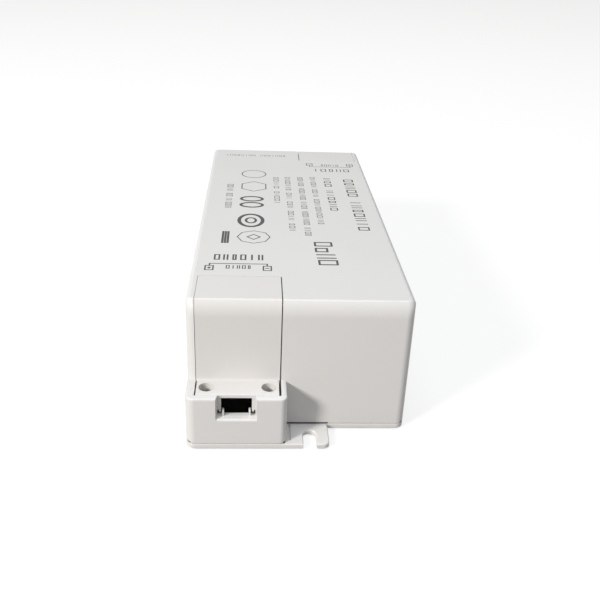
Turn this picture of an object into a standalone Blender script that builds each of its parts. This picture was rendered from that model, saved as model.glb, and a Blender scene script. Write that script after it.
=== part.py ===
"""LED driver in a two-part plastic case with a cable outlet and a terminal cover at each end.

X runs across the case, Y along it with the output end at -Y, and Z up.
The origin is on the table, under the middle of the case.
The input end is the output end turned half a turn about Z.
"""

import math

import bmesh
import bpy
from mathutils import Matrix, Vector

MM = 0.001

# Case: overall sizes
CASE_WIDTH = 60.0 * MM
CASE_LENGTH = 141.6 * MM
CASE_HEIGHT = 40.0 * MM
WALL = 2.0 * MM
SIDE_RADIUS = 2.4 * MM
ROOF_SIDE_RADIUS = 1.5 * MM
END_BEND = 5.0 * MM
END_LEAN_DEG = 72.0
END_EDGE_RADIUS = 0.9 * MM
CORNER_STEPS = 4
CORNER_LEAST = 0.2 * MM
SEAM = 0.3 * MM

# Base plate
PLATE = 1.8 * MM
PLATE_CHAMFER = 0.25 * MM
PLATE_UNDER_CHAMFER = 0.5 * MM
RIM_THICK = 1.2 * MM
RIM_TALL = 3.0 * MM
EAR_WIDTH = 11.7 * MM
EAR_RADIUS = 1.5 * MM
EAR_SLOT_WIDTH = 3.6 * MM
EAR_SLOT_FROM_FOOT = 6.45 * MM
EAR_SLOT_DEPTH = 6.3 * MM
FOOT_GROOVE_WIDTH = 0.4 * MM
FOOT_GROOVE_DEEP = 0.7 * MM
FOOT_GROOVE_GAP = 0.9 * MM

# Foot of the case that holds the cable outlet
FOOT_LENGTH = 9.2 * MM
FOOT_WIDTH = 26.7 * MM
FOOT_TOP = 16.0 * MM
FOOT_RADIUS = 1.8 * MM
FOOT_SIDE_RADIUS = 2.5 * MM
FOOT_EDGE = 0.7 * MM
FOOT_FRONT_WALL = 2.0 * MM

# Terminal cover and the opening that it fills
OPENING_LEFT_WALL = 2.25 * MM
OPENING_RIGHT_WALL = 1.55 * MM
OPENING_REACH = 14.95 * MM
COVER_GAP_LEFT = 0.1 * MM
COVER_GAP_RIGHT = 0.3 * MM
COVER_GAP_REAR = 0.12 * MM
COVER_WALL = 2.0 * MM
COVER_SETBACK = 0.15 * MM
COVER_FILLET = 0.8 * MM
LEDGE_EDGE = 0.4 * MM
LEDGE_INSET = 0.3 * MM
SHELF = 1.15 * MM
SHELF_TALL = 2.0 * MM
BAY_LINER = 1.05 * MM
BAY_DEPTH = 14.3 * MM
BAY_PARTITION = 1.4 * MM

# Screws that hold a terminal cover
COVER_SCREW_PITCH = 16.6 * MM
COVER_SCREW_FROM_CASE = 3.3 * MM
COUNTERBORE_RADIUS = 2.05 * MM
COUNTERBORE_DEEP = 3.5 * MM
BOSS_RADIUS = 2.8 * MM
BOSS_SEAT = 1.2 * MM
SCREW_SHANK_RADIUS = 1.2 * MM
SCREW_HEAD_RADIUS = 1.72 * MM
SCREW_HEAD_TALL = 1.3 * MM
COVER_SCREW_LONG = 8.0 * MM

# Cable outlet
NOTCH_WIDTH = 10.8 * MM
NOTCH_SILL = 9.8 * MM
NOTCH_CHAMFER = 0.5 * MM
WINDOW_WIDTH = 8.1 * MM
WINDOW_TOP = 15.0 * MM
NOTCH_FLARE = 0.45 * MM
FRAME_THICK = 1.3 * MM
FRAME_SKIRT = 0.6 * MM
GRIP_LIP_TALL = 0.1 * MM
GRIP_RIB_TALL = 1.7 * MM
GRIP_RIB_THICK = 0.5 * MM
GRIP_DEPTH = 1.0 * MM

# Snap hooks on the base plate and their pockets in the case walls
HOOK_WIDTH = 6.0 * MM
HOOK_TALL = 8.0 * MM
HOOK_NOSE = 0.8 * MM
HOOK_PLACES_Y = (-34.0 * MM, 36.0 * MM)
POCKET_DEPTH = 1.1 * MM

# Insulating sheet under the board
SHEET_THICK = 0.4 * MM

# Circuit board
BOARD_THICK = 1.6 * MM
BOARD_BOTTOM = 6.0 * MM
BOARD_MARGIN = 0.6 * MM
BOARD_END_MARGIN = 0.5 * MM
POST_RADIUS = 3.0 * MM
BOARD_SCREW_HEAD_RADIUS = 2.3 * MM
BOARD_SCREW_LONG = 5.0 * MM
POST_INSET_X = 7.5 * MM
POST_INSET_Y = 7.5 * MM
SIDE_POST_INSET_X = 6.0 * MM
SIDE_POST_INSET_Y = 22.5 * MM

# Terminal blocks
TERMINAL_PITCH = 7.6 * MM
TERMINAL_WIDTH = 15.8 * MM
TERMINAL_DEPTH = 9.6 * MM
TERMINAL_TALL = 14.0 * MM
TERMINAL_TO_PARTITION = 0.4 * MM
CLAMP_WIDTH = 4.2 * MM
CLAMP_TALL = 5.0 * MM
CLAMP_DEPTH = 6.0 * MM
CLAMP_WALL = 0.8 * MM
TERMINAL_SCREW_RADIUS = 1.0 * MM
TERMINAL_SCREW_HEAD_RADIUS = 1.9 * MM

# Fits shared by the electrical parts
GAP = 0.3 * MM
PIN_RADIUS = 0.4 * MM
PIN_BELOW_BOARD = 1.2 * MM
HOLE_EASE = 1.4
HEADROOM = 3.1 * MM
ROOT = 0.5 * MM

# Places that follow from the sizes above
HALF_WIDTH = CASE_WIDTH / 2
HALF_LENGTH = CASE_LENGTH / 2
FRONT = -HALF_LENGTH
FOOT_FRONT = FRONT - FOOT_LENGTH
FOOT_LEFT = -HALF_WIDTH
FOOT_RIGHT = FOOT_LEFT + FOOT_WIDTH
CASE_BOTTOM = PLATE + SEAM
OPENING_LEFT = FOOT_LEFT + OPENING_LEFT_WALL
OPENING_RIGHT = FOOT_RIGHT - OPENING_RIGHT_WALL
OPENING_REAR = FRONT + OPENING_REACH
COVER_LEFT = OPENING_LEFT + COVER_GAP_LEFT
COVER_RIGHT = OPENING_RIGHT - COVER_GAP_RIGHT
BAY_MIDDLE = (COVER_LEFT + COVER_RIGHT) / 2
NOTCH_MIDDLE = (FOOT_LEFT + FOOT_RIGHT) / 2
BAY_FRONT = FRONT + COVER_WALL + COVER_SETBACK + SEAM
BAY_REAR = BAY_FRONT + BAY_DEPTH
BAY_ROOF = CASE_HEIGHT - COVER_WALL - SEAM
BAY_LEFT = OPENING_LEFT + BAY_LINER
BAY_RIGHT = OPENING_RIGHT - BAY_LINER
LEDGE_FRONT = FOOT_FRONT + FOOT_FRONT_WALL + SEAM
LEDGE_BOTTOM = FOOT_TOP - COVER_WALL
COVER_SCREW_Y = FRONT - COVER_SCREW_FROM_CASE
COVER_SCREW_XS = (BAY_MIDDLE - COVER_SCREW_PITCH / 2, BAY_MIDDLE + COVER_SCREW_PITCH / 2)
BOSS_BOTTOM = FOOT_TOP - COUNTERBORE_DEEP - BOSS_SEAT
PILLAR_TOP = BOSS_BOTTOM - SEAM
RIM_OUTSIDE_X = HALF_WIDTH - WALL - SEAM
RIM_OUTSIDE_Y = HALF_LENGTH - WALL - SEAM
BOARD_TOP = BOARD_BOTTOM + BOARD_THICK
PART_FLOOR = BOARD_TOP + GAP
BOARD_HALF_WIDTH = HALF_WIDTH - WALL - BOARD_MARGIN
SHEET_HALF_WIDTH = RIM_OUTSIDE_X - RIM_THICK - SEAM
SHEET_HALF_LENGTH = RIM_OUTSIDE_Y - RIM_THICK - SEAM
BOARD_HALF_LENGTH = SHEET_HALF_LENGTH - SHEET_THICK - BOARD_END_MARGIN
BAY_SIDE = BAY_RIGHT + 2 * BAY_LINER
TALLEST_PART = CASE_HEIGHT - WALL - HEADROOM - PART_FLOOR
POST_TOP = BOARD_BOTTOM - GAP
HOOK_TOP = PLATE + HOOK_TALL
TERMINAL_REAR = BAY_REAR - TERMINAL_TO_PARTITION
TERMINAL_FRONT = TERMINAL_REAR - TERMINAL_DEPTH
HALF_TURN = Matrix.Diagonal((-1, -1, 1, 1))

# Where the parts stand on the board. The mains filter keeps its distance from the input end, the
# output filter from the output end, and the power stage stands in the middle.
LEFT_EDGE = -BOARD_HALF_WIDTH
RIGHT_EDGE = BOARD_HALF_WIDTH
OUTPUT_END = -BOARD_HALF_LENGTH
INPUT_END = BOARD_HALF_LENGTH
FUSE_LONG = 20.0 * MM
OUTPUT_CAN_RADIUS = 5.0 * MM
OUTPUT_CAN_X = BAY_SIDE + 3.3 * MM + OUTPUT_CAN_RADIUS
PLACES = {
    "fuse": (-BAY_SIDE - 2.8 * MM - FUSE_LONG / 2, INPUT_END - 5.8 * MM),
    "surge_varistor": (LEFT_EDGE + 7.9 * MM, INPUT_END - 16.8 * MM),
    "inrush_thermistor": (LEFT_EDGE + 7.9 * MM, INPUT_END - 24.3 * MM),
    "x_capacitor": (RIGHT_EDGE - 10.1 * MM, INPUT_END - 27.3 * MM),
    "choke": (1.5 * MM, INPUT_END - 23.8 * MM),
    "bridge_rectifier": (LEFT_EDGE + 9.9 * MM, INPUT_END - 32.3 * MM),
    "bulk_capacitor": (11.0 * MM, 17.5 * MM),
    "controller_chip": (-7.0 * MM, 22.0 * MM),
    "supply_capacitor": (-7.0 * MM, 13.0 * MM),
    "transformer": (1.0 * MM, -7.0 * MM),
    "clamp_diode": (LEFT_EDGE + 9.9 * MM, -9.0 * MM),
    "clamp_resistor": (LEFT_EDGE + 5.4 * MM, -9.0 * MM),
    "isolation_capacitor": (RIGHT_EDGE - 7.4 * MM, 1.0 * MM),
    "optocoupler": (RIGHT_EDGE - 7.4 * MM, -8.0 * MM),
    "voltage_reference": (RIGHT_EDGE - 13.4 * MM, -24.0 * MM),
    "output_inductor": (-13.5 * MM, OUTPUT_END + 26.3 * MM),
    "bleed_resistor": (LEFT_EDGE + 4.4 * MM, OUTPUT_END + 41.3 * MM),
    "output_capacitor_1": (OUTPUT_CAN_X, OUTPUT_END + 0.5 * MM + OUTPUT_CAN_RADIUS),
    "output_capacitor_2": (OUTPUT_CAN_X, OUTPUT_END + 1.2 * MM + 3 * OUTPUT_CAN_RADIUS),
}
SINK_MIDDLE_Y = {"primary": 13.0 * MM, "secondary": OUTPUT_END + 31.3 * MM}

SQUARE = 4
HEXAGON = 6

board_holes = []


def clear_scene():
    for old in list(bpy.data.objects):
        bpy.data.objects.remove(old)


# Outlines and solids

def arc(centre, radius, start_deg, end_deg, steps=4):
    """Points of a round stretch of an outline, ends included."""
    points = []
    for step in range(steps + 1):
        angle = math.radians(start_deg + (end_deg - start_deg) * step / steps)
        points.append((centre[0] + radius * math.cos(angle), centre[1] + radius * math.sin(angle)))
    return points


def rectangle(low_a, high_a, low_b, high_b):
    return [(low_a, low_b), (high_a, low_b), (high_a, high_b), (low_a, high_b)]


def turned_half(outline):
    """The same outline turned half a turn about the origin."""
    return [(-a, -b) for a, b in outline]


def prism(outline, low, high, axis="Z"):
    """A closed outline extruded along an axis; it is (y, z) for X, (x, z) for Y and (x, y) for Z."""
    place = {
        "X": lambda a, b, c: (c, a, b),
        "Y": lambda a, b, c: (a, c, b),
        "Z": lambda a, b, c: (a, b, c),
    }[axis]
    bm = bmesh.new()
    first = bm.faces.new([bm.verts.new(place(a, b, low)) for a, b in outline])
    grown = bmesh.ops.extrude_face_region(bm, geom=[first])["geom"]
    moved = [item for item in grown if isinstance(item, bmesh.types.BMVert)]
    bmesh.ops.translate(bm, verts=moved, vec=Vector(place(0, 0, high - low)))
    bmesh.ops.recalc_face_normals(bm, faces=bm.faces)
    return bm


def skinned(rings):
    """A solid over rings of points, bottom to top, with a flat face at each end."""
    bm = bmesh.new()
    rings = [[bm.verts.new(point) for point in ring] for ring in rings]
    for lower, upper in zip(rings, rings[1:]):
        for step in range(len(lower)):
            after = (step + 1) % len(lower)
            bm.faces.new((lower[step], lower[after], upper[after], upper[step]))
    bm.faces.new(rings[0])
    bm.faces.new(rings[-1])
    bmesh.ops.recalc_face_normals(bm, faces=bm.faces)
    bmesh.ops.connect_verts_nonplanar(bm, angle_limit=math.radians(0.1), faces=bm.faces)
    return bm


def block(x, y, z):
    """A box from three (low, high) pairs."""
    return prism(rectangle(*x, *y), *z)


def turned(profile, centre=(0, 0, 0), axis="Z", sides=20):
    """A profile of (radius, height) points, bottom to top, turned about an axis through centre."""
    bm = bmesh.new()
    rings = []
    for radius, height in profile:
        count = 1 if radius == 0 else sides
        ring = []
        for step in range(count):
            angle = 2 * math.pi * step / sides
            ring.append(bm.verts.new((radius * math.cos(angle), radius * math.sin(angle), height)))
        rings.append(ring)
    for lower, upper in zip(rings, rings[1:]):
        for step in range(sides):
            after = (step + 1) % sides
            corners = [lower[step % len(lower)], lower[after % len(lower)],
                       upper[after % len(upper)], upper[step % len(upper)]]
            bm.faces.new(list(dict.fromkeys(corners)))
    for ring in (rings[0], rings[-1]):
        if len(ring) > 1:
            bm.faces.new(ring)
    turn = {"X": Matrix.Rotation(math.pi / 2, 4, "Y"), "Y": Matrix.Rotation(-math.pi / 2, 4, "X"),
            "Z": Matrix.Identity(4)}[axis]
    bm.transform(Matrix.Translation(centre) @ turn)
    bmesh.ops.recalc_face_normals(bm, faces=bm.faces)
    return bm


def rod(centre, radius, low, high, axis="Z", sides=20):
    """A plain cylinder; centre is its (a, b) place across the axis."""
    place = {"X": (0, centre[0], centre[1]), "Y": (centre[0], 0, centre[1]),
             "Z": (centre[0], centre[1], 0)}[axis]
    return turned([(radius, low), (radius, high)], place, axis, sides)


def together(*solids):
    """Several solids that don't touch, as one mesh."""
    joined = bmesh.new()
    for solid in solids:
        mesh = bpy.data.meshes.new("part")
        solid.to_mesh(mesh)
        solid.free()
        joined.from_mesh(mesh)
        bpy.data.meshes.remove(mesh)
    return joined


def as_drawn(solid):
    """Leaves a solid at the output end."""
    return solid


def half_turned(solid):
    """Turns a solid to the input end."""
    solid.transform(HALF_TURN)
    return solid


ENDS = (("output", as_drawn), ("input", half_turned))


def bevel_where(bm, chosen, width, steps=1):
    """Rounds the edges that chosen(edge) picks."""
    edges = [edge for edge in bm.edges if chosen(edge)]
    bmesh.ops.bevel(bm, geom=edges, offset=width, segments=steps, affect="EDGES", profile=0.5)
    return bm


def same(a, b):
    return abs(a - b) < 1e-6


def edge_in_plane(axis, value):
    """A test for edges that lie in the plane where one coordinate has this value."""
    return lambda edge: all(same(corner.co[axis], value) for corner in edge.verts)


# Objects, materials and joins

def material(name, colour, roughness, metallic=0.0):
    made = bpy.data.materials.get(name)
    if made is None:
        made = bpy.data.materials.new(name)
        made.use_nodes = True
        shader = made.node_tree.nodes["Principled BSDF"]
        shader.inputs["Base Color"].default_value = (*colour, 1.0)
        shader.inputs["Roughness"].default_value = roughness
        shader.inputs["Metallic"].default_value = metallic
    return made


def object_from(name, bm):
    mesh = bpy.data.meshes.new(name)
    bm.to_mesh(mesh)
    bm.free()
    made = bpy.data.objects.new(name, mesh)
    bpy.context.scene.collection.objects.link(made)
    return made


def piece(name, bm, finish):
    made = object_from(name, bm)
    made.data.materials.append(finish)
    made.data.shade_smooth()
    made.data.set_sharp_from_angle(angle=math.radians(30))
    return made


def boolean(target, operation, bm):
    """Joins or cuts target with a hidden helper solid."""
    tool = object_from(f"{target.name}_{operation.lower()}_{len(target.modifiers)}", bm)
    tool.hide_render = True
    tool.display_type = "WIRE"
    modifier = target.modifiers.new(operation.lower(), "BOOLEAN")
    modifier.operation = operation
    modifier.solver = "EXACT"
    modifier.object = tool


def join(target, *solids):
    for solid in solids:
        boolean(target, "UNION", solid)


def cut(target, *solids):
    for solid in solids:
        boolean(target, "DIFFERENCE", solid)


WHITE_PLASTIC = material("white_case_plastic", (0.80, 0.79, 0.77), 0.42)
WHITE_COVER_PLASTIC = material("white_cover_plastic", (0.81, 0.80, 0.78), 0.40)
SCREW_STEEL = material("plated_screw_steel", (0.62, 0.61, 0.55), 0.35, 1.0)
SHEET_BLACK = material("insulating_film", (0.02, 0.02, 0.022), 0.6)
BOARD_GREEN = material("board_laminate", (0.05, 0.22, 0.09), 0.45)
TERMINAL_GREEN = material("terminal_plastic", (0.05, 0.33, 0.16), 0.45)
TIN = material("tinned_metal", (0.70, 0.70, 0.68), 0.35, 1.0)
GLASS = material("fuse_glass", (0.75, 0.82, 0.84), 0.08)
BLUE_COAT = material("blue_disc_coating", (0.06, 0.20, 0.48), 0.5)
GREEN_COAT = material("green_disc_coating", (0.07, 0.25, 0.16), 0.5)
YELLOW_BOX = material("yellow_film_box", (0.72, 0.50, 0.08), 0.45)
FERRITE = material("ferrite", (0.05, 0.05, 0.055), 0.6)
POWDER_CORE = material("coated_powder_core", (0.62, 0.50, 0.12), 0.55)
COPPER = material("enamelled_copper", (0.55, 0.22, 0.08), 0.3, 1.0)
BLACK_EPOXY = material("black_epoxy", (0.03, 0.03, 0.03), 0.5)
CAN_SLEEVE = material("capacitor_sleeve", (0.04, 0.05, 0.09), 0.35)
ALUMINIUM = material("heatsink_aluminium", (0.72, 0.73, 0.74), 0.4, 1.0)
PAD_GREY = material("thermal_pad_silicone", (0.45, 0.50, 0.52), 0.8)
BOBBIN_BLACK = material("bobbin_plastic", (0.04, 0.04, 0.045), 0.5)
TAPE_YELLOW = material("winding_tape", (0.78, 0.62, 0.10), 0.4)
TAN_BODY = material("resistor_lacquer", (0.55, 0.42, 0.28), 0.5)


# Case: a five-sided shell with a foot at each end

def end_inset(drop):
    """How far an end face leans in at this depth below the roof: a long gentle curve under a tight edge."""
    lean = math.radians(END_LEAN_DEG)
    edge_drop = END_EDGE_RADIUS * (1 - math.cos(lean))
    long_radius = (END_BEND - edge_drop) / math.cos(lean)
    if drop >= edge_drop:
        rise = max(0, END_BEND - drop)
        return long_radius - math.sqrt(long_radius ** 2 - rise ** 2)
    deepest = long_radius * (1 - math.sin(lean)) + END_EDGE_RADIUS * math.sin(lean)
    return deepest - math.sqrt(END_EDGE_RADIUS ** 2 - (END_EDGE_RADIUS - drop) ** 2)


def side_inset(drop):
    """How far a long side is rounded in at this depth below the roof."""
    rise = max(0, ROOF_SIDE_RADIUS - drop)
    return ROOF_SIDE_RADIUS - math.sqrt(ROOF_SIDE_RADIUS ** 2 - rise ** 2)


def roof_drops():
    """Depths below the roof, from the roof down, where its rounded edges get their points."""
    edge = [END_EDGE_RADIUS * (1 - math.cos(math.radians(tilt))) for tilt in (0, 24, 48, END_LEAN_DEG)]
    side = [ROOF_SIDE_RADIUS * (1 - math.cos(math.radians(tilt))) for tilt in (10, 25, 42, 58, 74, 90)]
    return sorted([*edge, *side, 0.8 * END_BEND, END_BEND])


def case_ring(z, drop):
    """Plan of the case at one height: a rectangle with rounded corners, drawn in near the roof."""
    reach_x = max(SIDE_RADIUS - side_inset(drop), CORNER_LEAST)
    reach_y = max(SIDE_RADIUS - end_inset(drop), CORNER_LEAST)
    points = []
    for side_x, side_y, start in ((1, 1, 0), (-1, 1, 90), (-1, -1, 180), (1, -1, 270)):
        for step in range(CORNER_STEPS + 1):
            angle = math.radians(start + 90 * step / CORNER_STEPS)
            points.append((side_x * (HALF_WIDTH - SIDE_RADIUS) + reach_x * math.cos(angle),
                           side_y * (HALF_LENGTH - SIDE_RADIUS) + reach_y * math.sin(angle), z))
    return points


def case_outer():
    """The outer skin: upright walls, long sides rounded into the roof, and ends that lean in under it."""
    rings = [case_ring(CASE_HEIGHT - drop, drop) for drop in reversed(roof_drops())]
    return skinned([case_ring(CASE_BOTTOM, END_BEND), *rings])


def case_hollow():
    """The room inside the walls and the roof."""
    radius = END_BEND - WALL
    end = HALF_LENGTH - WALL
    top = CASE_HEIGHT - WALL
    bottom = CASE_BOTTOM - WALL
    outline = [
        (-end, bottom), (end, bottom),
        *arc((end - radius, top - radius), radius, 0, 90, 6),
        *arc((-end + radius, top - radius), radius, 90, 180, 6),
    ]
    return prism(outline, -HALF_WIDTH + WALL, HALF_WIDTH - WALL, "X")


def foot_outer():
    """The low foot in front of the case: rounded at its front corners and round its top."""
    outline = [
        (FOOT_RIGHT, FRONT + 2 * WALL), (FOOT_LEFT, FRONT + 2 * WALL),
        *arc((FOOT_LEFT + FOOT_SIDE_RADIUS, FOOT_FRONT + FOOT_SIDE_RADIUS), FOOT_SIDE_RADIUS, 180, 270),
        *arc((FOOT_RIGHT - FOOT_RADIUS, FOOT_FRONT + FOOT_RADIUS), FOOT_RADIUS, 270, 360),
    ]
    bm = prism(outline, CASE_BOTTOM, FOOT_TOP)
    at_top = edge_in_plane(2, FOOT_TOP)
    inside = edge_in_plane(1, FRONT + 2 * WALL)
    return bevel_where(bm, lambda edge: at_top(edge) and not inside(edge), FOOT_EDGE, 2)


def bay_liner():
    """Walls that close the terminal bay off from the circuit and back the cover's edges."""
    return block(
        (-HALF_WIDTH + WALL / 2, BAY_RIGHT + 2 * BAY_LINER),
        (BAY_FRONT, BAY_REAR + BAY_PARTITION),
        (BOARD_TOP + SEAM + GAP, CASE_HEIGHT - WALL / 2),
    )


def opening_cutter():
    """Everything that the terminal cover fills, and the foot's hollow below it."""
    bend = (FRONT + COVER_SETBACK + END_BEND, CASE_HEIGHT - END_BEND)
    outline = [
        (FOOT_FRONT + FOOT_FRONT_WALL, -WALL), (BAY_FRONT, -WALL),
        *reversed(arc(bend, END_BEND - COVER_WALL - SEAM, 90, 180)),
        (OPENING_REAR, BAY_ROOF),
        (OPENING_REAR, CASE_HEIGHT + WALL), (FOOT_FRONT + FOOT_FRONT_WALL, CASE_HEIGHT + WALL),
    ]
    return prism(outline, OPENING_LEFT, OPENING_RIGHT, "X")


def bay_cutter():
    """The bay's hollow, which leaves a shelf under the cover's rear edge."""
    shelf_front = OPENING_REAR - SHELF
    shelf_bottom = BAY_ROOF - SHELF_TALL
    outline = [
        (FRONT - WALL, 0), (BAY_REAR, 0), (BAY_REAR, shelf_bottom),
        (shelf_front, shelf_bottom), (shelf_front, CASE_HEIGHT), (FRONT - WALL, CASE_HEIGHT),
    ]
    return prism(outline, BAY_LEFT, BAY_RIGHT, "X")


def screw_pillar(side):
    """The corner pillar in the foot that takes a cover screw; side is -1 on the left."""
    x = BAY_MIDDLE + side * COVER_SCREW_PITCH / 2
    wall_x = (OPENING_LEFT - OPENING_LEFT_WALL / 2) if side < 0 else (OPENING_RIGHT + OPENING_RIGHT_WALL / 2)
    wall_y = FOOT_FRONT + FOOT_FRONT_WALL / 2
    free_x = x - side * BOSS_RADIUS
    start, end = (0, 90) if side < 0 else (180, 90)
    outline = [(wall_x, wall_y), (free_x, wall_y), *arc((x, COVER_SCREW_Y), BOSS_RADIUS, start, end),
               (wall_x, COVER_SCREW_Y + BOSS_RADIUS)]
    return prism(outline, CASE_BOTTOM + ROOT, PILLAR_TOP)


def notch_cutter():
    """The cable notch in the foot's front wall, with its sill bevelled on the outside."""
    low, high = FOOT_FRONT - WALL, FOOT_FRONT + FOOT_FRONT_WALL + GAP
    outline = [
        (low, NOTCH_SILL - NOTCH_CHAMFER - WALL), (FOOT_FRONT + NOTCH_CHAMFER, NOTCH_SILL),
        (high, NOTCH_SILL), (high, FOOT_TOP + WALL), (low, FOOT_TOP + WALL),
    ]
    half = NOTCH_WIDTH / 2 - NOTCH_FLARE
    bm = prism(outline, NOTCH_MIDDLE - half, NOTCH_MIDDLE + half, "X")
    for corner in bm.verts:
        outward = max(0, FOOT_FRONT + FOOT_FRONT_WALL - corner.co.y) / FOOT_FRONT_WALL
        side = 1 if corner.co.x > NOTCH_MIDDLE else -1
        corner.co.x += side * outward * NOTCH_FLARE
    return bm


def cable_grip():
    """A shelf behind the notch's sill with a rib near each end, which keep the cable from turning."""
    half = NOTCH_WIDTH / 2
    outer = WINDOW_WIDTH / 2 - SEAM
    inner = outer - GRIP_RIB_THICK
    low = CASE_BOTTOM + PLATE
    shelf_top = NOTCH_SILL + GRIP_LIP_TALL
    rib_top = NOTCH_SILL + GRIP_RIB_TALL
    right = [(half, low), (half, shelf_top), (outer, shelf_top), (outer, rib_top), (inner, rib_top),
             (inner, shelf_top)]
    outline = right + [(-x, z) for x, z in reversed(right)]
    wall_back = FOOT_FRONT + FOOT_FRONT_WALL
    return prism([(NOTCH_MIDDLE + x, z) for x, z in outline], wall_back - ROOT, wall_back + GRIP_DEPTH, "Y")


def pilot_holes():
    radius = SCREW_SHANK_RADIUS + GAP
    depth = COVER_SCREW_LONG + GAP
    floor = FOOT_TOP - COUNTERBORE_DEEP - depth
    return together(*[
        rod((x, COVER_SCREW_Y), radius, floor, PILLAR_TOP + WALL, sides=12) for x in COVER_SCREW_XS
    ])


def hook_pockets():
    """Pockets inside the long walls that the base plate's hooks snap into."""
    inner = HALF_WIDTH - WALL
    pockets = []
    for side in (-1, 1):
        near, far = sorted((side * (inner - GAP), side * (inner + POCKET_DEPTH)))
        for y in HOOK_PLACES_Y:
            half = HOOK_WIDTH / 2 + GAP
            pockets.append(block(
                (near, far),
                (side * y - half, side * y + half),
                (HOOK_TOP - 3 * HOOK_NOSE - GAP, HOOK_TOP + GAP),
            ))
    return together(*pockets)


def make_case():
    case = piece("case", case_outer(), WHITE_PLASTIC)
    join(case, foot_outer(), half_turned(foot_outer()))
    cut(case, case_hollow())
    join(case, bay_liner(), half_turned(bay_liner()))
    for _, turn in ENDS:
        cut(case, turn(opening_cutter()), turn(bay_cutter()))
        join(case, turn(screw_pillar(-1)), turn(screw_pillar(1)))
        cut(case, turn(notch_cutter()), turn(pilot_holes()))
        join(case, turn(cable_grip()))
    cut(case, hook_pockets())


# Base plate: one moulding with the ears, the rim, the hooks and the board's posts

def plate_outline():
    """Plan of the base plate, from the output end round to the input end by a half turn."""
    ear_right = FOOT_RIGHT + EAR_WIDTH
    slot_x = FOOT_RIGHT + EAR_SLOT_FROM_FOOT
    slot_radius = EAR_SLOT_WIDTH / 2
    slot_y = FOOT_FRONT + EAR_SLOT_DEPTH - slot_radius
    output_end = [
        *reversed(arc((HALF_WIDTH - SIDE_RADIUS, FRONT + SIDE_RADIUS), SIDE_RADIUS, 270, 360)),
        (ear_right, FRONT),
        *reversed(arc((ear_right - EAR_RADIUS, FOOT_FRONT + EAR_RADIUS), EAR_RADIUS, 270, 360)),
        (slot_x + slot_radius, FOOT_FRONT),
        *arc((slot_x, slot_y), slot_radius, 0, 180, 8),
        (slot_x - slot_radius, FOOT_FRONT),
        *reversed(arc((FOOT_LEFT + FOOT_SIDE_RADIUS, FOOT_FRONT + FOOT_SIDE_RADIUS), FOOT_SIDE_RADIUS, 180, 270)),
    ]
    return output_end + turned_half(output_end)


def rim():
    """The upstand that locates the case: one end and one side, with the foot's opening left free."""
    inner_x, inner_y = RIM_OUTSIDE_X - RIM_THICK, RIM_OUTSIDE_Y - RIM_THICK
    start = OPENING_RIGHT + SEAM
    outline = [
        (start, -RIM_OUTSIDE_Y), (RIM_OUTSIDE_X, -RIM_OUTSIDE_Y), (RIM_OUTSIDE_X, RIM_OUTSIDE_Y),
        (inner_x, RIM_OUTSIDE_Y), (inner_x, -inner_y), (start, -inner_y),
    ]
    return prism(outline, PLATE / 2, PLATE + RIM_TALL)


def hook(side, y):
    """A snap hook on a long edge, drawn as its section and extruded along the edge."""
    outer = RIM_OUTSIDE_X
    inner = outer - RIM_THICK
    nose_low = HOOK_TOP - 3 * HOOK_NOSE
    outline = [
        (inner, PLATE / 2), (outer, PLATE / 2), (outer, nose_low),
        (outer + HOOK_NOSE, nose_low), (outer + HOOK_NOSE, nose_low + HOOK_NOSE),
        (outer, HOOK_TOP), (inner, HOOK_TOP),
    ]
    outline = [(side * x, z) for x, z in outline]
    return prism(outline, side * y - HOOK_WIDTH / 2, side * y + HOOK_WIDTH / 2, "Y")


def post_places():
    """Where the board is screwed down: one corner at each end, and one point on each long side."""
    corner = (HALF_WIDTH - POST_INSET_X, FRONT + POST_INSET_Y)
    side = (-HALF_WIDTH + SIDE_POST_INSET_X, FRONT + SIDE_POST_INSET_Y)
    return [corner, side, *turned_half([corner, side])]


def foot_groove():
    """The narrow groove between the foot's wall and the ear."""
    near = FOOT_RIGHT + FOOT_GROOVE_GAP
    return block(
        (near, near + FOOT_GROOVE_WIDTH),
        (FOOT_FRONT + FOOT_RADIUS, FRONT),
        (PLATE - FOOT_GROOVE_DEEP, PLATE + WALL),
    )


def make_base_plate():
    bm = prism(plate_outline(), 0, PLATE)
    bevel_where(bm, edge_in_plane(2, PLATE), PLATE_CHAMFER)
    bevel_where(bm, edge_in_plane(2, 0), PLATE_UNDER_CHAMFER)
    base = piece("base_plate", bm, WHITE_PLASTIC)
    join(base, together(rim(), half_turned(rim())))
    join(base, together(*[hook(side, y) for side in (-1, 1) for y in HOOK_PLACES_Y]))
    places = post_places()
    join(base, together(*[rod(place, POST_RADIUS, PLATE / 2, POST_TOP, sides=12) for place in places]))
    hole = SCREW_SHANK_RADIUS + GAP
    floor = BOARD_TOP + GAP - BOARD_SCREW_LONG - GAP
    cut(base, together(*[rod(place, hole, floor, POST_TOP + WALL, sides=10) for place in places]))
    cut(base, together(foot_groove(), half_turned(foot_groove())))


def make_insulating_sheet():
    """A thin black sheet under the board, folded up at both ends between the rim and the board."""
    end, low, top = SHEET_HALF_LENGTH, PLATE + SEAM, PART_FLOOR
    inner, floor = end - SHEET_THICK, low + SHEET_THICK
    outline = [(-end, top), (-end, low), (end, low), (end, top),
               (inner, top), (inner, floor), (-inner, floor), (-inner, top)]
    sheet = piece("insulating_sheet", prism(outline, -SHEET_HALF_WIDTH, SHEET_HALF_WIDTH, "X"), SHEET_BLACK)
    holes = [rod(place, POST_RADIUS + SEAM, 0, POST_TOP, sides=12) for place in post_places()]
    cut(sheet, together(*holes))


# Terminal covers and their screws

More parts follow.
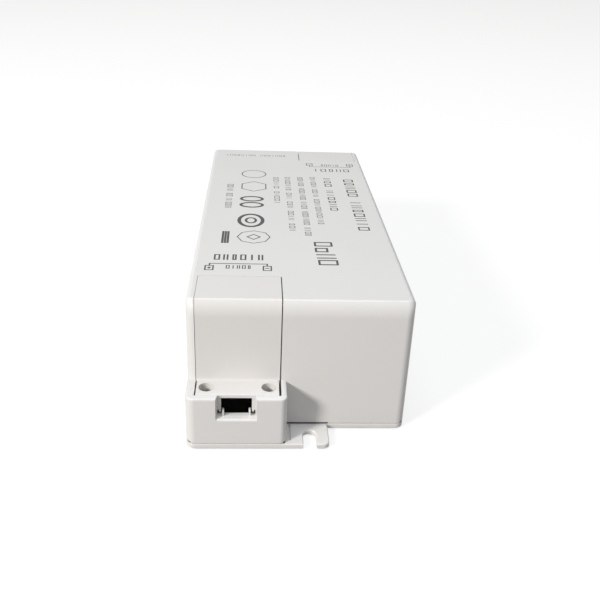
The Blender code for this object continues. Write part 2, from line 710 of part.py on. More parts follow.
def cover_profile():
    """Section of the cover in (y, z): roof, rounded corner, front, and the ledge on the foot."""
    skin_y = FRONT + COVER_SETBACK
    inner_y = skin_y + COVER_WALL
    rear = OPENING_REAR - COVER_GAP_REAR
    top = CASE_HEIGHT
    bend = (skin_y + END_BEND, top - END_BEND)
    ledge_corner = (LEDGE_FRONT + LEDGE_EDGE, FOOT_TOP - LEDGE_EDGE)
    fillet = (skin_y - COVER_FILLET, FOOT_TOP + COVER_FILLET)
    return [
        (rear, top),
        *[(skin_y + end_inset(drop), top - drop) for drop in roof_drops()],
        *arc(fillet, COVER_FILLET, 0, -90, 2),
        *arc(ledge_corner, LEDGE_EDGE, 90, 180, 2),
        (LEDGE_FRONT, LEDGE_BOTTOM), (inner_y, LEDGE_BOTTOM),
        *reversed(arc(bend, END_BEND - COVER_WALL, 90, 180, 4)),
        (rear, top - COVER_WALL),
    ]


def cover_frame():
    """The frame behind the notch, which narrows it to the cable window; its skirt reaches between the pillars."""
    half = NOTCH_WIDTH / 2 + FRAME_THICK
    skirt = NOTCH_WIDTH / 2 - NOTCH_FLARE - SEAM
    top, bottom = LEDGE_BOTTOM + ROOT, BOSS_BOTTOM - FRAME_SKIRT
    right = [(skirt, bottom), (skirt, BOSS_BOTTOM), (half, BOSS_BOTTOM), (half, top)]
    outline = right + [(-x, z) for x, z in reversed(right)]
    return prism([(NOTCH_MIDDLE + x, z) for x, z in outline], LEDGE_FRONT, LEDGE_FRONT + FRAME_THICK, "Y")


def ledge_sides():
    """Strips taken off the ledge's sides, which leave a wider joint there than beside the upright."""
    strips = ((COVER_LEFT - WALL, COVER_LEFT + LEDGE_INSET), (COVER_RIGHT - LEDGE_INSET, COVER_RIGHT + WALL))
    return together(*[
        block(strip, (LEDGE_FRONT - WALL, FRONT), (LEDGE_BOTTOM - WALL / 2, FOOT_TOP + WALL)) for strip in strips
    ])


def cable_window():
    half = WINDOW_WIDTH / 2
    outline = rectangle(NOTCH_MIDDLE - half, NOTCH_MIDDLE + half, BOSS_BOTTOM - WALL, WINDOW_TOP)
    return prism(outline, LEDGE_FRONT - WALL, FRONT + COVER_SETBACK + COVER_WALL + WALL, "Y")


def make_cover(name, turn):
    cover = piece(name, turn(prism(cover_profile(), COVER_LEFT, COVER_RIGHT, "X")), WHITE_COVER_PLASTIC)
    bosses = [rod((x, COVER_SCREW_Y), BOSS_RADIUS, BOSS_BOTTOM, LEDGE_BOTTOM + ROOT, sides=16)
              for x in COVER_SCREW_XS]
    join(cover, turn(together(*bosses)), turn(cover_frame()))
    cut(cover, turn(cable_window()), turn(ledge_sides()))
    seat = FOOT_TOP - COUNTERBORE_DEEP
    bores = [turned([(SCREW_SHANK_RADIUS + GAP, BOSS_BOTTOM - WALL), (SCREW_SHANK_RADIUS + GAP, seat),
                     (COUNTERBORE_RADIUS, seat), (COUNTERBORE_RADIUS, FOOT_TOP + WALL)],
                    (x, COVER_SCREW_Y, 0), sides=20) for x in COVER_SCREW_XS]
    cut(cover, turn(together(*bores)))


def screw(place, seat, head_radius, head_tall, length, sides=16):
    """A pan-head self-tapping screw standing with its head's underside at the seat."""
    x, y = place
    tip = 1.2 * MM
    profile = [
        (0, seat - length), (SCREW_SHANK_RADIUS, seat - length + tip), (SCREW_SHANK_RADIUS, seat),
        (head_radius, seat), (head_radius, seat + 0.55 * head_tall),
        (0.62 * head_radius, seat + head_tall), (0, seat + head_tall),
    ]
    return turned(profile, (x, y, 0), sides=sides)


def cross_recess(place, top, reach, depth):
    """A cross-shaped driver recess as one outline."""
    arm = 0.28 * reach
    x, y = place
    corners = [(reach, -arm), (reach, arm), (arm, arm), (arm, reach), (-arm, reach), (-arm, arm)]
    outline = [(x + a, y + b) for a, b in corners + turned_half(corners)]
    return prism(outline, top - depth, top + WALL)


def make_cover_screws(end, turn):
    seat = FOOT_TOP - COUNTERBORE_DEEP + GAP
    for number, x in enumerate(COVER_SCREW_XS, 1):
        place = (x, COVER_SCREW_Y)
        solid = screw(place, seat, SCREW_HEAD_RADIUS, SCREW_HEAD_TALL, COVER_SCREW_LONG)
        made = piece(f"{end}_cover_screw_{number}", turn(solid), SCREW_STEEL)
        cut(made, turn(cross_recess(place, seat + SCREW_HEAD_TALL, 0.6 * SCREW_HEAD_RADIUS, 0.7 * MM)))


# Circuit board and the parts that stand on it

def pins(places, root_height, radius=PIN_RADIUS, sides=SQUARE):
    """Leads through the board, each of which also gets a hole in it."""
    low = BOARD_BOTTOM - PIN_BELOW_BOARD
    for place in places:
        board_holes.append((place, HOLE_EASE * radius + GAP))
    return together(*[rod(place, radius, low, root_height, sides=sides) for place in places])


def make_board():
    inset = 2 * RIM_THICK
    outline = []
    half = HOOK_WIDTH / 2 + 2 * GAP
    outline.append((BOARD_HALF_WIDTH, -BOARD_HALF_LENGTH))
    for y in sorted(HOOK_PLACES_Y):
        outline += [(BOARD_HALF_WIDTH, y - half), (BOARD_HALF_WIDTH - inset, y - half),
                    (BOARD_HALF_WIDTH - inset, y + half), (BOARD_HALF_WIDTH, y + half)]
    outline.append((BOARD_HALF_WIDTH, BOARD_HALF_LENGTH))
    board = piece("circuit_board", prism(outline + turned_half(outline), BOARD_BOTTOM, BOARD_TOP), BOARD_GREEN)
    holes = [rod(place, radius, BOARD_BOTTOM - WALL, BOARD_TOP + WALL, sides=SQUARE)
             for place, radius in board_holes]
    posts = [rod(place, SCREW_SHANK_RADIUS + GAP, BOARD_BOTTOM - WALL, BOARD_TOP + WALL, sides=10)
             for place in post_places()]
    cut(board, together(*holes, *posts))


def make_board_screws():
    seat = BOARD_TOP + GAP
    tall = 1.6 * MM
    for number, place in enumerate(post_places(), 1):
        solid = screw(place, seat, BOARD_SCREW_HEAD_RADIUS, tall, BOARD_SCREW_LONG, 12)
        made = piece(f"board_screw_{number}", solid, SCREW_STEEL)
        cut(made, cross_recess(place, seat + tall, 0.55 * BOARD_SCREW_HEAD_RADIUS, 0.8 * MM))


def terminal_xs():
    return (BAY_MIDDLE - TERMINAL_PITCH / 2, BAY_MIDDLE + TERMINAL_PITCH / 2)


def make_terminal_block(end, turn):
    """A two-way screw terminal: body, two cage clamps and two clamp screws."""
    top = PART_FLOOR + TERMINAL_TALL
    cavity_low = PART_FLOOR + 1.2 * MM
    cavity_high = cavity_low + CLAMP_TALL + 2 * GAP
    cavity_rear = TERMINAL_FRONT + CLAMP_DEPTH + 3 * GAP
    well_y = TERMINAL_FRONT + 1.5 * GAP + CLAMP_DEPTH / 2
    outline = [
        (TERMINAL_FRONT, PART_FLOOR), (TERMINAL_REAR, PART_FLOOR),
        (TERMINAL_REAR, top - 3 * MM), (TERMINAL_REAR - 1.5 * MM, top),
        (TERMINAL_FRONT + 1.2 * MM, top), (TERMINAL_FRONT, top - 4 * MM),
    ]
    low_x, high_x = BAY_MIDDLE - TERMINAL_WIDTH / 2, BAY_MIDDLE + TERMINAL_WIDTH / 2
    body = piece(f"{end}_terminal_body", turn(prism(outline, low_x, high_x, "X")), TERMINAL_GREEN)
    pin_places = [(x, TERMINAL_REAR - 1.5 * MM) for x in terminal_xs()]
    if turn is half_turned:
        pin_places = turned_half(pin_places)
    join(body, pins(pin_places, PART_FLOOR + ROOT, 0.5 * MM))
    half = CLAMP_WIDTH / 2 + GAP
    cavities = [block((x - half, x + half), (TERMINAL_FRONT - WALL, cavity_rear), (cavity_low, cavity_high))
                for x in terminal_xs()]
    well = TERMINAL_SCREW_HEAD_RADIUS + GAP
    wells = [rod((x, well_y), well, cavity_high + 1.5 * MM, top + WALL, sides=14) for x in terminal_xs()]
    shafts = [rod((x, well_y), TERMINAL_SCREW_RADIUS + GAP, cavity_high - WALL, top, sides=10)
              for x in terminal_xs()]
    cut(body, turn(together(*cavities)), turn(together(*wells)), turn(together(*shafts)))

    clamp_low = cavity_low + GAP
    clamp_rear = cavity_rear - GAP
    for number, x in enumerate(terminal_xs(), 1):
        make_terminal_clamp(f"{end}_terminal_clamp_{number}", turn, x, clamp_rear, clamp_low, well_y)
        make_terminal_screw(f"{end}_terminal_screw_{number}", turn, (x, well_y),
                            clamp_low + CLAMP_TALL - 2.2 * CLAMP_WALL, cavity_high + 1.5 * MM + GAP)


def make_terminal_clamp(name, turn, x, rear, low, screw_y):
    """The square metal cage that the wire is clamped in."""
    front = rear - CLAMP_DEPTH
    half = CLAMP_WIDTH / 2
    cage = piece(name, turn(block((x - half, x + half), (front, rear), (low, low + CLAMP_TALL))), TIN)
    bore = half - CLAMP_WALL
    mouth = block((x - bore, x + bore), (front - WALL, rear + WALL),
                  (low + CLAMP_WALL, low + CLAMP_TALL - 2 * CLAMP_WALL))
    thread = rod((x, screw_y), TERMINAL_SCREW_RADIUS + GAP, low + CLAMP_TALL / 2, low + CLAMP_TALL + WALL,
                 sides=10)
    cut(cage, turn(mouth), turn(thread))


def make_terminal_screw(name, turn, place, tip, seat):
    """The slotted clamp screw, its head sunk in the body's well."""
    x, y = place
    head = 1.4 * MM
    profile = [(TERMINAL_SCREW_RADIUS, tip), (TERMINAL_SCREW_RADIUS, seat),
               (TERMINAL_SCREW_HEAD_RADIUS, seat), (TERMINAL_SCREW_HEAD_RADIUS, seat + head)]
    made = piece(name, turn(turned(profile, (x, y, 0), sides=12)), SCREW_STEEL)
    reach = TERMINAL_SCREW_HEAD_RADIUS + WALL
    slot = block((x - reach, x + reach), (y - 0.3 * MM, y + 0.3 * MM), (seat + 0.6 * MM, seat + head + WALL))
    cut(made, turn(slot))


# Input filter: fuse, surge parts, film capacitor, choke and bridge

FUSE_RADIUS = 2.5 * MM
FUSE_CAP = 5.0 * MM
FUSE_AXIS_HEIGHT = PART_FLOOR + FUSE_RADIUS + 0.6 * MM


def make_fuse():
    """A glass cartridge fuse whose two end caps carry the leads."""
    x, y = PLACES["fuse"]
    half = FUSE_LONG / 2
    z = FUSE_AXIS_HEIGHT
    glass_half = half - FUSE_CAP + 1.6 * MM
    glass = FUSE_RADIUS - 0.5 * MM
    piece("fuse_glass", rod((y, z), glass, x - glass_half, x + glass_half, "X", 14), GLASS)
    bore = glass + 0.2 * MM
    inside = glass_half + GAP
    for number, side in enumerate((-1, 1), 1):
        low, high = sorted((x + side * (half - FUSE_CAP), x + side * half))
        cap = piece(f"fuse_cap_{number}", rod((y, z), FUSE_RADIUS, low, high, "X", 14), TIN)
        cut(cap, rod((y, z), bore, x - inside, x + inside, "X", 14))
        join(cap, pins([(x + side * (half - 1.2 * MM), y)], z - FUSE_RADIUS + ROOT))


def disc_part(name, across, thick, lead_pitch, finish):
    """A dipped disc on two leads, standing across X."""
    x, y = PLACES[name]
    z = PART_FLOOR + across / 2 + 1.0 * MM
    edge = 0.25 * thick
    half = thick / 2
    profile = [(0, -half), (across / 2 - edge, -half), (across / 2, 0), (across / 2 - edge, half), (0, half)]
    disc = piece(name, turned(profile, (x, y, z), "Y", 16), finish)
    reach = lead_pitch / 2
    drop = math.sqrt((across / 2 - edge) ** 2 - reach ** 2)
    join(disc, pins([(x - reach, y), (x + reach, y)], z - drop + 2 * ROOT, sides=HEXAGON))


def boxed_part(name, width, depth, tall, pin_pitch, finish, pins_along="X"):
    """A moulded box on two leads, with its upright edges bevelled."""
    x, y = PLACES[name]
    bm = block((x - width / 2, x + width / 2), (y - depth / 2, y + depth / 2), (PART_FLOOR, PART_FLOOR + tall))
    bevel_where(bm, lambda edge: not same(edge.verts[0].co.z, edge.verts[1].co.z), 0.6 * MM)
    box = piece(name, bm, finish)
    shift = pin_pitch / 2
    places = [(x - shift, y), (x + shift, y)] if pins_along == "X" else [(x, y - shift), (x, y + shift)]
    join(box, pins(places, PART_FLOOR + ROOT))


def can_capacitor(name, radius, tall, sides=16):
    """An electrolytic can: sleeve rolled in above the base and scored top."""
    x, y = PLACES[name]
    low = PART_FLOOR
    profile = [
        (radius, low), (radius, low + 1.5 * MM), (radius - 0.5 * MM, low + 2.2 * MM),
        (radius, low + 2.9 * MM), (radius, low + tall - 0.5 * MM), (radius - 0.5 * MM, low + tall),
        (radius - 1.2 * MM, low + tall), (radius - 1.4 * MM, low + tall - 0.3 * MM),
    ]
    can = piece(name, turned(profile, (x, y, 0), sides=sides), CAN_SLEEVE)
    pitch = max(2.0 * MM, 0.4 * radius)
    join(can, pins([(x - pitch, y), (x + pitch, y)], low + ROOT))


def ring_core(name, ring, finish):
    """A toroid lying flat, with its edges bevelled."""
    x, y, z = ring.centre
    inner, outer, thick = ring.inner, ring.outer, ring.thick
    edge = 0.8 * MM
    half = thick / 2
    section = [
        (inner + edge, -half), (outer - edge, -half), (outer, -half + edge), (outer, half - edge),
        (outer - edge, half), (inner + edge, half), (inner, half - edge), (inner, -half + edge),
    ]
    bm = bmesh.new()
    sides = 20
    rings = []
    for step in range(sides):
        angle = 2 * math.pi * step / sides
        rings.append([bm.verts.new((x + r * math.cos(angle), y + r * math.sin(angle), z + h))
                      for r, h in section])
    for step in range(sides):
        for corner in range(len(section)):
            nearby = rings[(step + 1) % sides]
            after = (corner + 1) % len(section)
            bm.faces.new((rings[step][corner], nearby[corner], nearby[after], rings[step][after]))
    bmesh.ops.recalc_face_normals(bm, faces=bm.faces)
    return piece(name, bm, finish)


def ring_winding(name, ring, turns, start_deg, end_deg):
    """Wire wound round a toroid's section between two angles, its tails going down into the board."""
    x, y, z = ring.centre
    wire = ring.wire
    middle = (ring.inner + ring.outer) / 2
    reach = (ring.outer - ring.inner) / 2 + RING_WIRE_CLEAR + wire
    rise = ring.thick / 2 + RING_WIRE_CLEAR + wire
    per_turn = 8
    squareness = 0.5
    points = []
    steps = turns * per_turn
    for step in range(steps + 1):
        phase = 2 * math.pi * step / per_turn
        along = math.radians(start_deg + (end_deg - start_deg) * step / steps)
        c, s = math.cos(phase), math.sin(phase)
        r = middle + reach * math.copysign(abs(c) ** squareness, c)
        h = rise * math.copysign(abs(s) ** squareness, s)
        points.append((x + r * math.cos(along), y + r * math.sin(along), z + h))
    low = BOARD_BOTTOM - PIN_BELOW_BOARD
    for end in (points[0], points[-1]):
        board_holes.append(((end[0], end[1]), HOLE_EASE * wire + GAP))
    points = [(points[0][0], points[0][1], low), *points, (points[-1][0], points[-1][1], low)]
    data = bpy.data.curves.new(name, "CURVE")
    data.dimensions = "3D"
    data.bevel_depth = wire
    data.bevel_resolution = 1
    data.use_fill_caps = True
    data.materials.append(COPPER)
    spline = data.splines.new("POLY")
    spline.points.add(len(points) - 1)
    for point, place in zip(spline.points, points):
        point.co = (*place, 1)
    made = bpy.data.objects.new(name, data)
    bpy.context.scene.collection.objects.link(made)
    return made


class Ring:
    """Sizes of a toroid lying over its place on the board, and of the wire round it."""

    def __init__(self, place, inner, outer, thick, wire, stand):
        self.inner, self.outer, self.thick, self.wire = inner, outer, thick, wire
        self.stand_top = PART_FLOOR + stand
        self.centre = (*PLACES[place], self.stand_top + GAP + 2 * wire + RING_WIRE_CLEAR + thick / 2)


RING_WIRE_CLEAR = 0.55 * MM
CHOKE = Ring("choke", inner=4.2 * MM, outer=7.8 * MM, thick=6.5 * MM, wire=0.45 * MM, stand=1.6 * MM)
INDUCTOR = Ring("output_inductor", inner=4.0 * MM, outer=8.0 * MM, thick=6.5 * MM, wire=0.45 * MM, stand=0)


def make_choke():
    ring_core("choke_core", CHOKE, FERRITE)
    ring_winding("choke_line_winding", CHOKE, turns=7, start_deg=-66, end_deg=66)
    ring_winding("choke_neutral_winding", CHOKE, turns=7, start_deg=114, end_deg=246)
    x, y, _ = CHOKE.centre
    stand = piece("choke_stand", rod((x, y), CHOKE.outer - 2 * MM, PART_FLOOR, CHOKE.stand_top), BOBBIN_BLACK)
    cut(stand, rod((x, y), CHOKE.inner - 1.5 * MM, PART_FLOOR - WALL, CHOKE.stand_top + WALL, sides=12))


def make_inductor():
    ring_core("output_inductor_core", INDUCTOR, POWDER_CORE)
    ring_winding("output_inductor_winding", INDUCTOR, turns=11, start_deg=-140, end_deg=140)


# Power parts on their heatsinks

SINK_THICK = 2.0 * MM
SINK_TALL = TALLEST_PART - 2.0 * MM
SINK_LONG = 26.0 * MM
SINK_FIN = 3.2 * MM
SINK_TO_RIM = 0.5 * MM
SINK_SIDE = {"primary": -1, "secondary": 1}
PAD_THICK = 0.5 * MM
PACKAGE_WIDTH = 10.0 * MM
PACKAGE_TALL = 9.2 * MM
PACKAGE_THICK = 4.4 * MM
TAB_TALL = 6.4 * MM
TAB_THICK = 1.3 * MM
PACKAGE_FLOOR = PART_FLOOR + 4.0 * MM
SINK_SCREW_RADIUS = 1.2 * MM


def sink_face(which):
    """X of the face that the package is clamped to."""
    side = SINK_SIDE[which]
    return side * (RIM_OUTSIDE_X - RIM_THICK - SINK_TO_RIM - SINK_FIN - SINK_THICK)


def sink_screw_height():
    return PACKAGE_FLOOR + PACKAGE_TALL + TAB_TALL / 2


def sink_hole(which, radius):
    face = sink_face(which)
    low, high = sorted((face - SINK_SIDE[which] * 12 * MM, face + SINK_SIDE[which] * 12 * MM))
    return rod((SINK_MIDDLE_Y[which], sink_screw_height()), radius, low, high, "X", 10)


def make_heatsink(which):
    """An extruded comb of aluminium: a flat back with fins towards the case wall."""
    side = SINK_SIDE[which]
    face = sink_face(which)
    back = face + side * SINK_THICK
    tip = back + side * SINK_FIN
    y = SINK_MIDDLE_Y[which]
    half = SINK_LONG / 2
    fins = 6
    fin = 1.2 * MM
    pitch = (SINK_LONG - fin) / (fins - 1)
    outline = [(face, y + half), (face, y - half)]
    for step in range(fins):
        near = y - half + step * pitch
        outline += [(tip, near), (tip, near + fin)]
        if step < fins - 1:
            outline += [(back, near + fin), (back, near + pitch)]
    sink = piece(f"{which}_heatsink", prism(outline, PART_FLOOR, PART_FLOOR + SINK_TALL), ALUMINIUM)
    cut(sink, sink_hole(which, SINK_SCREW_RADIUS + GAP))
    leg_x = face + side * SINK_THICK / 2
    join(sink, pins([(leg_x, y - half + 3 * MM), (leg_x, y + half - 3 * MM)], PART_FLOOR + ROOT, 0.6 * MM))


def make_power_package(which, name, pad_name, screw_name):
    """A tab package on three leads, its pad, and the screw that clamps it to the heatsink."""
    side = SINK_SIDE[which]
    face = sink_face(which)
    y = SINK_MIDDLE_Y[which]
    pad_near = face - side * 0.2 * MM
    pad_far = pad_near - side * PAD_THICK
    half = PACKAGE_WIDTH / 2
    pad_low, pad_high = sorted((pad_near, pad_far))
    pad = piece(pad_name, block((pad_low, pad_high), (y - half - 1 * MM, y + half + 1 * MM),
                                (PACKAGE_FLOOR - 1 * MM, PACKAGE_FLOOR + PACKAGE_TALL + TAB_TALL + 1 * MM)), PAD_GREY)
    cut(pad, sink_hole(which, SINK_SCREW_RADIUS + GAP))
    tab = pad_far - side * 0.2 * MM
    body_front = tab - side * PACKAGE_THICK
    tab_front = tab - side * TAB_THICK
    top = PACKAGE_FLOOR + PACKAGE_TALL
    outline = [(tab, PACKAGE_FLOOR), (body_front, PACKAGE_FLOOR), (body_front, top),
               (tab_front, top), (tab_front, top + TAB_TALL), (tab, top + TAB_TALL)]
    package = piece(name, prism(outline, y - half, y + half, "Y"), BLACK_EPOXY)
    cut(package, sink_hole(which, SINK_SCREW_RADIUS + GAP))
    lead_x = tab - side * 2.4 * MM
    places = [(lead_x, y + step * 2.54 * MM) for step in (-1, 0, 1)]
    join(package, pins(places, PACKAGE_FLOOR + ROOT, 0.42 * MM))

    head_near = tab_front - side * 0.2 * MM
    head_far = head_near - side * 1.6 * MM
    end = face + side * (SINK_THICK + 1.6 * MM)
    z = sink_screw_height()
    low, high = sorted((head_near, head_far))
    clamp = piece(screw_name, rod((y, z), 2.2 * MM, low, high, "X", 12), SCREW_STEEL)
    shank_low, shank_high = sorted((head_near - side * 0.8 * MM, end))
    join(clamp, rod((y, z), SINK_SCREW_RADIUS, shank_low, shank_high, "X", 10))
    slot_low, slot_high = sorted((head_far - side * WALL, head_far + side * 0.7 * MM))
    cut(clamp, block((slot_low, slot_high), (y - 4 * MM, y + 4 * MM), (z - 0.3 * MM, z + 0.3 * MM)))


# Transformer: bobbin, taped winding and two core halves

CORE_WIDTH = 25.4 * MM
CORE_DEPTH = 7.4 * MM
CORE_LEG = 3.2 * MM
CORE_CENTRE_LEG = 7.0 * MM
CORE_YOKE = 3.4 * MM
CORE_JOINT = 0.3 * MM
CORE_BELOW_TALLEST = 3.5 * MM
BOBBIN_FLANGE = 0.9 * MM
BOBBIN_WALL = 0.7 * MM
BOBBIN_FOOT = 3.0 * MM
CORE_HALF_TALL = (TALLEST_PART - CORE_BELOW_TALLEST - BOBBIN_FOOT - GAP - CORE_JOINT) / 2
BOBBIN_DEPTH = 20.0 * MM
TRANSFORMER_PINS = 4


def core_half_outline(up):
    """E-shaped side outline of one core half in (x, z), open towards the joint."""
    x = PLACES["transformer"][0]
    joint = core_joint_height() + up * CORE_JOINT / 2
    far = joint + up * CORE_HALF_TALL
    bottom = far - up * CORE_YOKE
    half = CORE_WIDTH / 2
    centre = CORE_CENTRE_LEG / 2
    return [
        (x - half, far), (x - half, joint), (x - half + CORE_LEG, joint), (x - half + CORE_LEG, bottom),
        (x - centre, bottom), (x - centre, joint), (x + centre, joint), (x + centre, bottom),
        (x + half - CORE_LEG, bottom), (x + half - CORE_LEG, joint), (x + half, joint), (x + half, far),
    ]


def core_joint_height():
    return PART_FLOOR + BOBBIN_FOOT + GAP + CORE_HALF_TALL + CORE_JOINT / 2


def make_transformer():
    x, y = PLACES["transformer"]
    joint = core_joint_height()
    low_y, high_y = y - CORE_DEPTH / 2, y + CORE_DEPTH / 2
    piece("transformer_core_lower", prism(core_half_outline(-1), low_y, high_y, "Y"), FERRITE)
    piece("transformer_core_upper", prism(core_half_outline(1), low_y, high_y, "Y"), FERRITE)

    window = CORE_HALF_TALL - CORE_YOKE + CORE_JOINT / 2 - GAP
    tube_x = CORE_CENTRE_LEG / 2 + GAP + BOBBIN_WALL
    tube_y = CORE_DEPTH / 2 + GAP + BOBBIN_WALL
    flange_x = CORE_WIDTH / 2 - CORE_LEG - GAP
    flange_y = BOBBIN_DEPTH / 2
    bobbin = piece("transformer_bobbin", block(
        (x - tube_x, x + tube_x), (y - tube_y, y + tube_y), (joint - window, joint + window)), BOBBIN_BLACK)
    flanges = [block((x - flange_x, x + flange_x), (y - flange_y, y + flange_y), level)
               for level in ((joint - window, joint - window + BOBBIN_FLANGE),
                             (joint + window - BOBBIN_FLANGE, joint + window))]
    join(bobbin, *flanges)
    foot_top = joint - window + BOBBIN_FLANGE / 2
    bars = [block((x - flange_x, x + flange_x), sorted((y + side * (CORE_DEPTH / 2 + 1 * MM), y + side * flange_y)),
                  (PART_FLOOR, foot_top)) for side in (-1, 1)]
    join(bobbin, together(*bars))
    cut(bobbin, block((x - CORE_CENTRE_LEG / 2 - GAP, x + CORE_CENTRE_LEG / 2 + GAP),
                      (y - CORE_DEPTH / 2 - GAP, y + CORE_DEPTH / 2 + GAP),
                      (joint - window - WALL, joint + window + WALL)))
    spacing = (2 * flange_x - 4 * MM) / (TRANSFORMER_PINS - 1)
    places = [(x - flange_x + 2 * MM + step * spacing, y + side * (flange_y - 2 * MM))
              for side in (-1, 1) for step in range(TRANSFORMER_PINS)]
    join(bobbin, pins(places, PART_FLOOR + ROOT))

    wound_x = flange_x - 0.5 * MM
    wound_y = flange_y - 1.2 * MM
    low, high = joint - window + BOBBIN_FLANGE + 0.2 * MM, joint + window - BOBBIN_FLANGE - 0.2 * MM
    corner = 3.0 * MM
    outline = [
        *arc((x + wound_x - corner, y + wound_y - corner), corner, 0, 90),
        *arc((x - wound_x + corner, y + wound_y - corner), corner, 90, 180),
        *arc((x - wound_x + corner, y - wound_y + corner), corner, 180, 270),
        *arc((x + wound_x - corner, y - wound_y + corner), corner, 270, 360),
    ]
    winding = piece("transformer_winding", prism(outline, low, high), TAPE_YELLOW)
    cut(winding, block((x - tube_x - 0.2 * MM, x + tube_x + 0.2 * MM), (y - tube_y - 0.2 * MM, y + tube_y + 0.2 * MM),
                       (low - WALL, high + WALL)))


# Small control parts

def dual_in_line(name, pin_rows, along_y=False):
    """A moulded chip with two rows of shouldered pins."""
    x, y = PLACES[name]
    pitch = 2.54 * MM
    length = pin_rows * pitch - 0.4 * MM
    half_row = 3.81 * MM
    body_half = 3.2 * MM
    low = PART_FLOOR + 0.6 * MM
    high = low + 3.2 * MM
    outline = [(-body_half, low + 1.6 * MM), (-body_half + 0.4 * MM, low), (body_half - 0.4 * MM, low),
               (body_half, low + 1.6 * MM), (body_half - 0.4 * MM, high), (-body_half + 0.4 * MM, high)]
    rows = [(step - (pin_rows - 1) / 2) * pitch for step in range(pin_rows)]
    if along_y:
        body = prism([(x + a, b) for a, b in outline], y - length / 2, y + length / 2, "Y")
        places = [(x + side * half_row, y + row) for side in (-1, 1) for row in rows]
        legs = [block((x - half_row - PIN_RADIUS / 2, x + half_row + PIN_RADIUS / 2),
                      (y + row - PIN_RADIUS, y + row + PIN_RADIUS),
                      (low + 1.3 * MM, low + 1.9 * MM)) for row in rows]
    else:
        body = prism([(y + a, b) for a, b in outline], x - length / 2, x + length / 2, "X")
        places = [(x + row, y + side * half_row) for side in (-1, 1) for row in rows]
        legs = [block((x + row - PIN_RADIUS, x + row + PIN_RADIUS),
                      (y - half_row - PIN_RADIUS / 2, y + half_row + PIN_RADIUS / 2),
                      (low + 1.3 * MM, low + 1.9 * MM)) for row in rows]
    chip = piece(name, body, BLACK_EPOXY)
    join(chip, together(*legs), pins(places, low + 1.6 * MM))


def axial_part(name, radius, length, finish):
    """A body lying along Y on bent leads that go down through the board."""
    x, y = PLACES[name]
    z = PART_FLOOR + radius + 0.4 * MM
    edge = 0.25 * radius
    half = length / 2
    profile = [(radius - edge, -half), (radius, -half + edge), (radius, half - edge), (radius - edge, half)]
    body = piece(name, turned(profile, (x, y, z), "Y", 10), finish)
    reach = half + 2.0 * MM
    join(body, rod((x, z), PIN_RADIUS, y - reach - PIN_RADIUS, y + reach + PIN_RADIUS, "Y", HEXAGON))
    join(body, pins([(x, y - reach), (x, y + reach)], z))


def make_voltage_reference():
    """A small flat-faced three-lead package."""
    x, y = PLACES["voltage_reference"]
    radius = 2.3 * MM
    low = PART_FLOOR + 2.0 * MM
    outline = arc((x, y), radius, -35, 215, 8)
    body = piece("voltage_reference", prism(outline, low, low + 4.6 * MM), BLACK_EPOXY)
    join(body, pins([(x + step * 1.7 * MM, y) for step in (-1, 0, 1)], low + ROOT, 0.25 * MM))


def make_electronics():
    make_insulating_sheet()
    for end, turn in ENDS:
        make_terminal_block(end, turn)
    make_fuse()
    disc_part("surge_varistor", across=10.0 * MM, thick=4.0 * MM, lead_pitch=5.0 * MM, finish=BLUE_COAT)
    disc_part("inrush_thermistor", across=9.0 * MM, thick=4.2 * MM, lead_pitch=5.0 * MM, finish=GREEN_COAT)
    boxed_part("x_capacitor", width=7.5 * MM, depth=17.5 * MM, tall=13.5 * MM, pin_pitch=15.0 * MM,
               finish=YELLOW_BOX, pins_along="Y")
    make_choke()
    boxed_part("bridge_rectifier", width=14.0 * MM, depth=3.6 * MM, tall=11.0 * MM, pin_pitch=11.4 * MM,
               finish=BLACK_EPOXY)
    can_capacitor("bulk_capacitor", radius=9.0 * MM, tall=TALLEST_PART, sides=20)
    make_heatsink("primary")
    make_power_package("primary", "switching_transistor", "transistor_pad", "transistor_screw")
    make_transformer()
    dual_in_line("controller_chip", pin_rows=4)
    can_capacitor("supply_capacitor", radius=2.5 * MM, tall=11.0 * MM, sides=12)
    axial_part("clamp_diode", radius=1.4 * MM, length=5.0 * MM, finish=BLACK_EPOXY)
    axial_part("clamp_resistor", radius=1.8 * MM, length=9.0 * MM, finish=TAN_BODY)
    disc_part("isolation_capacitor", across=8.0 * MM, thick=3.4 * MM, lead_pitch=5.0 * MM, finish=BLUE_COAT)
    dual_in_line("optocoupler", pin_rows=2, along_y=True)
    make_voltage_reference()
    make_heatsink("secondary")
    make_power_package("secondary", "output_rectifier", "rectifier_pad", "rectifier_screw")
    make_inductor()
    for number in (1, 2):
        can_capacitor(f"output_capacitor_{number}", OUTPUT_CAN_RADIUS, tall=20.0 * MM)
    axial_part("bleed_resistor", radius=1.2 * MM, length=6.0 * MM, finish=TAN_BODY)
    make_board()
    make_board_screws()


def main():
    clear_scene()
    make_case()
    make_base_plate()
    for end, turn in ENDS:
        make_cover(f"{end}_terminal_cover", turn)
        make_cover_screws(end, turn)
    make_electronics()


main()
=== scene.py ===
"""A white plastic LED driver, dressed for its picture: finishes, printed marks, floor, light and camera."""
import math

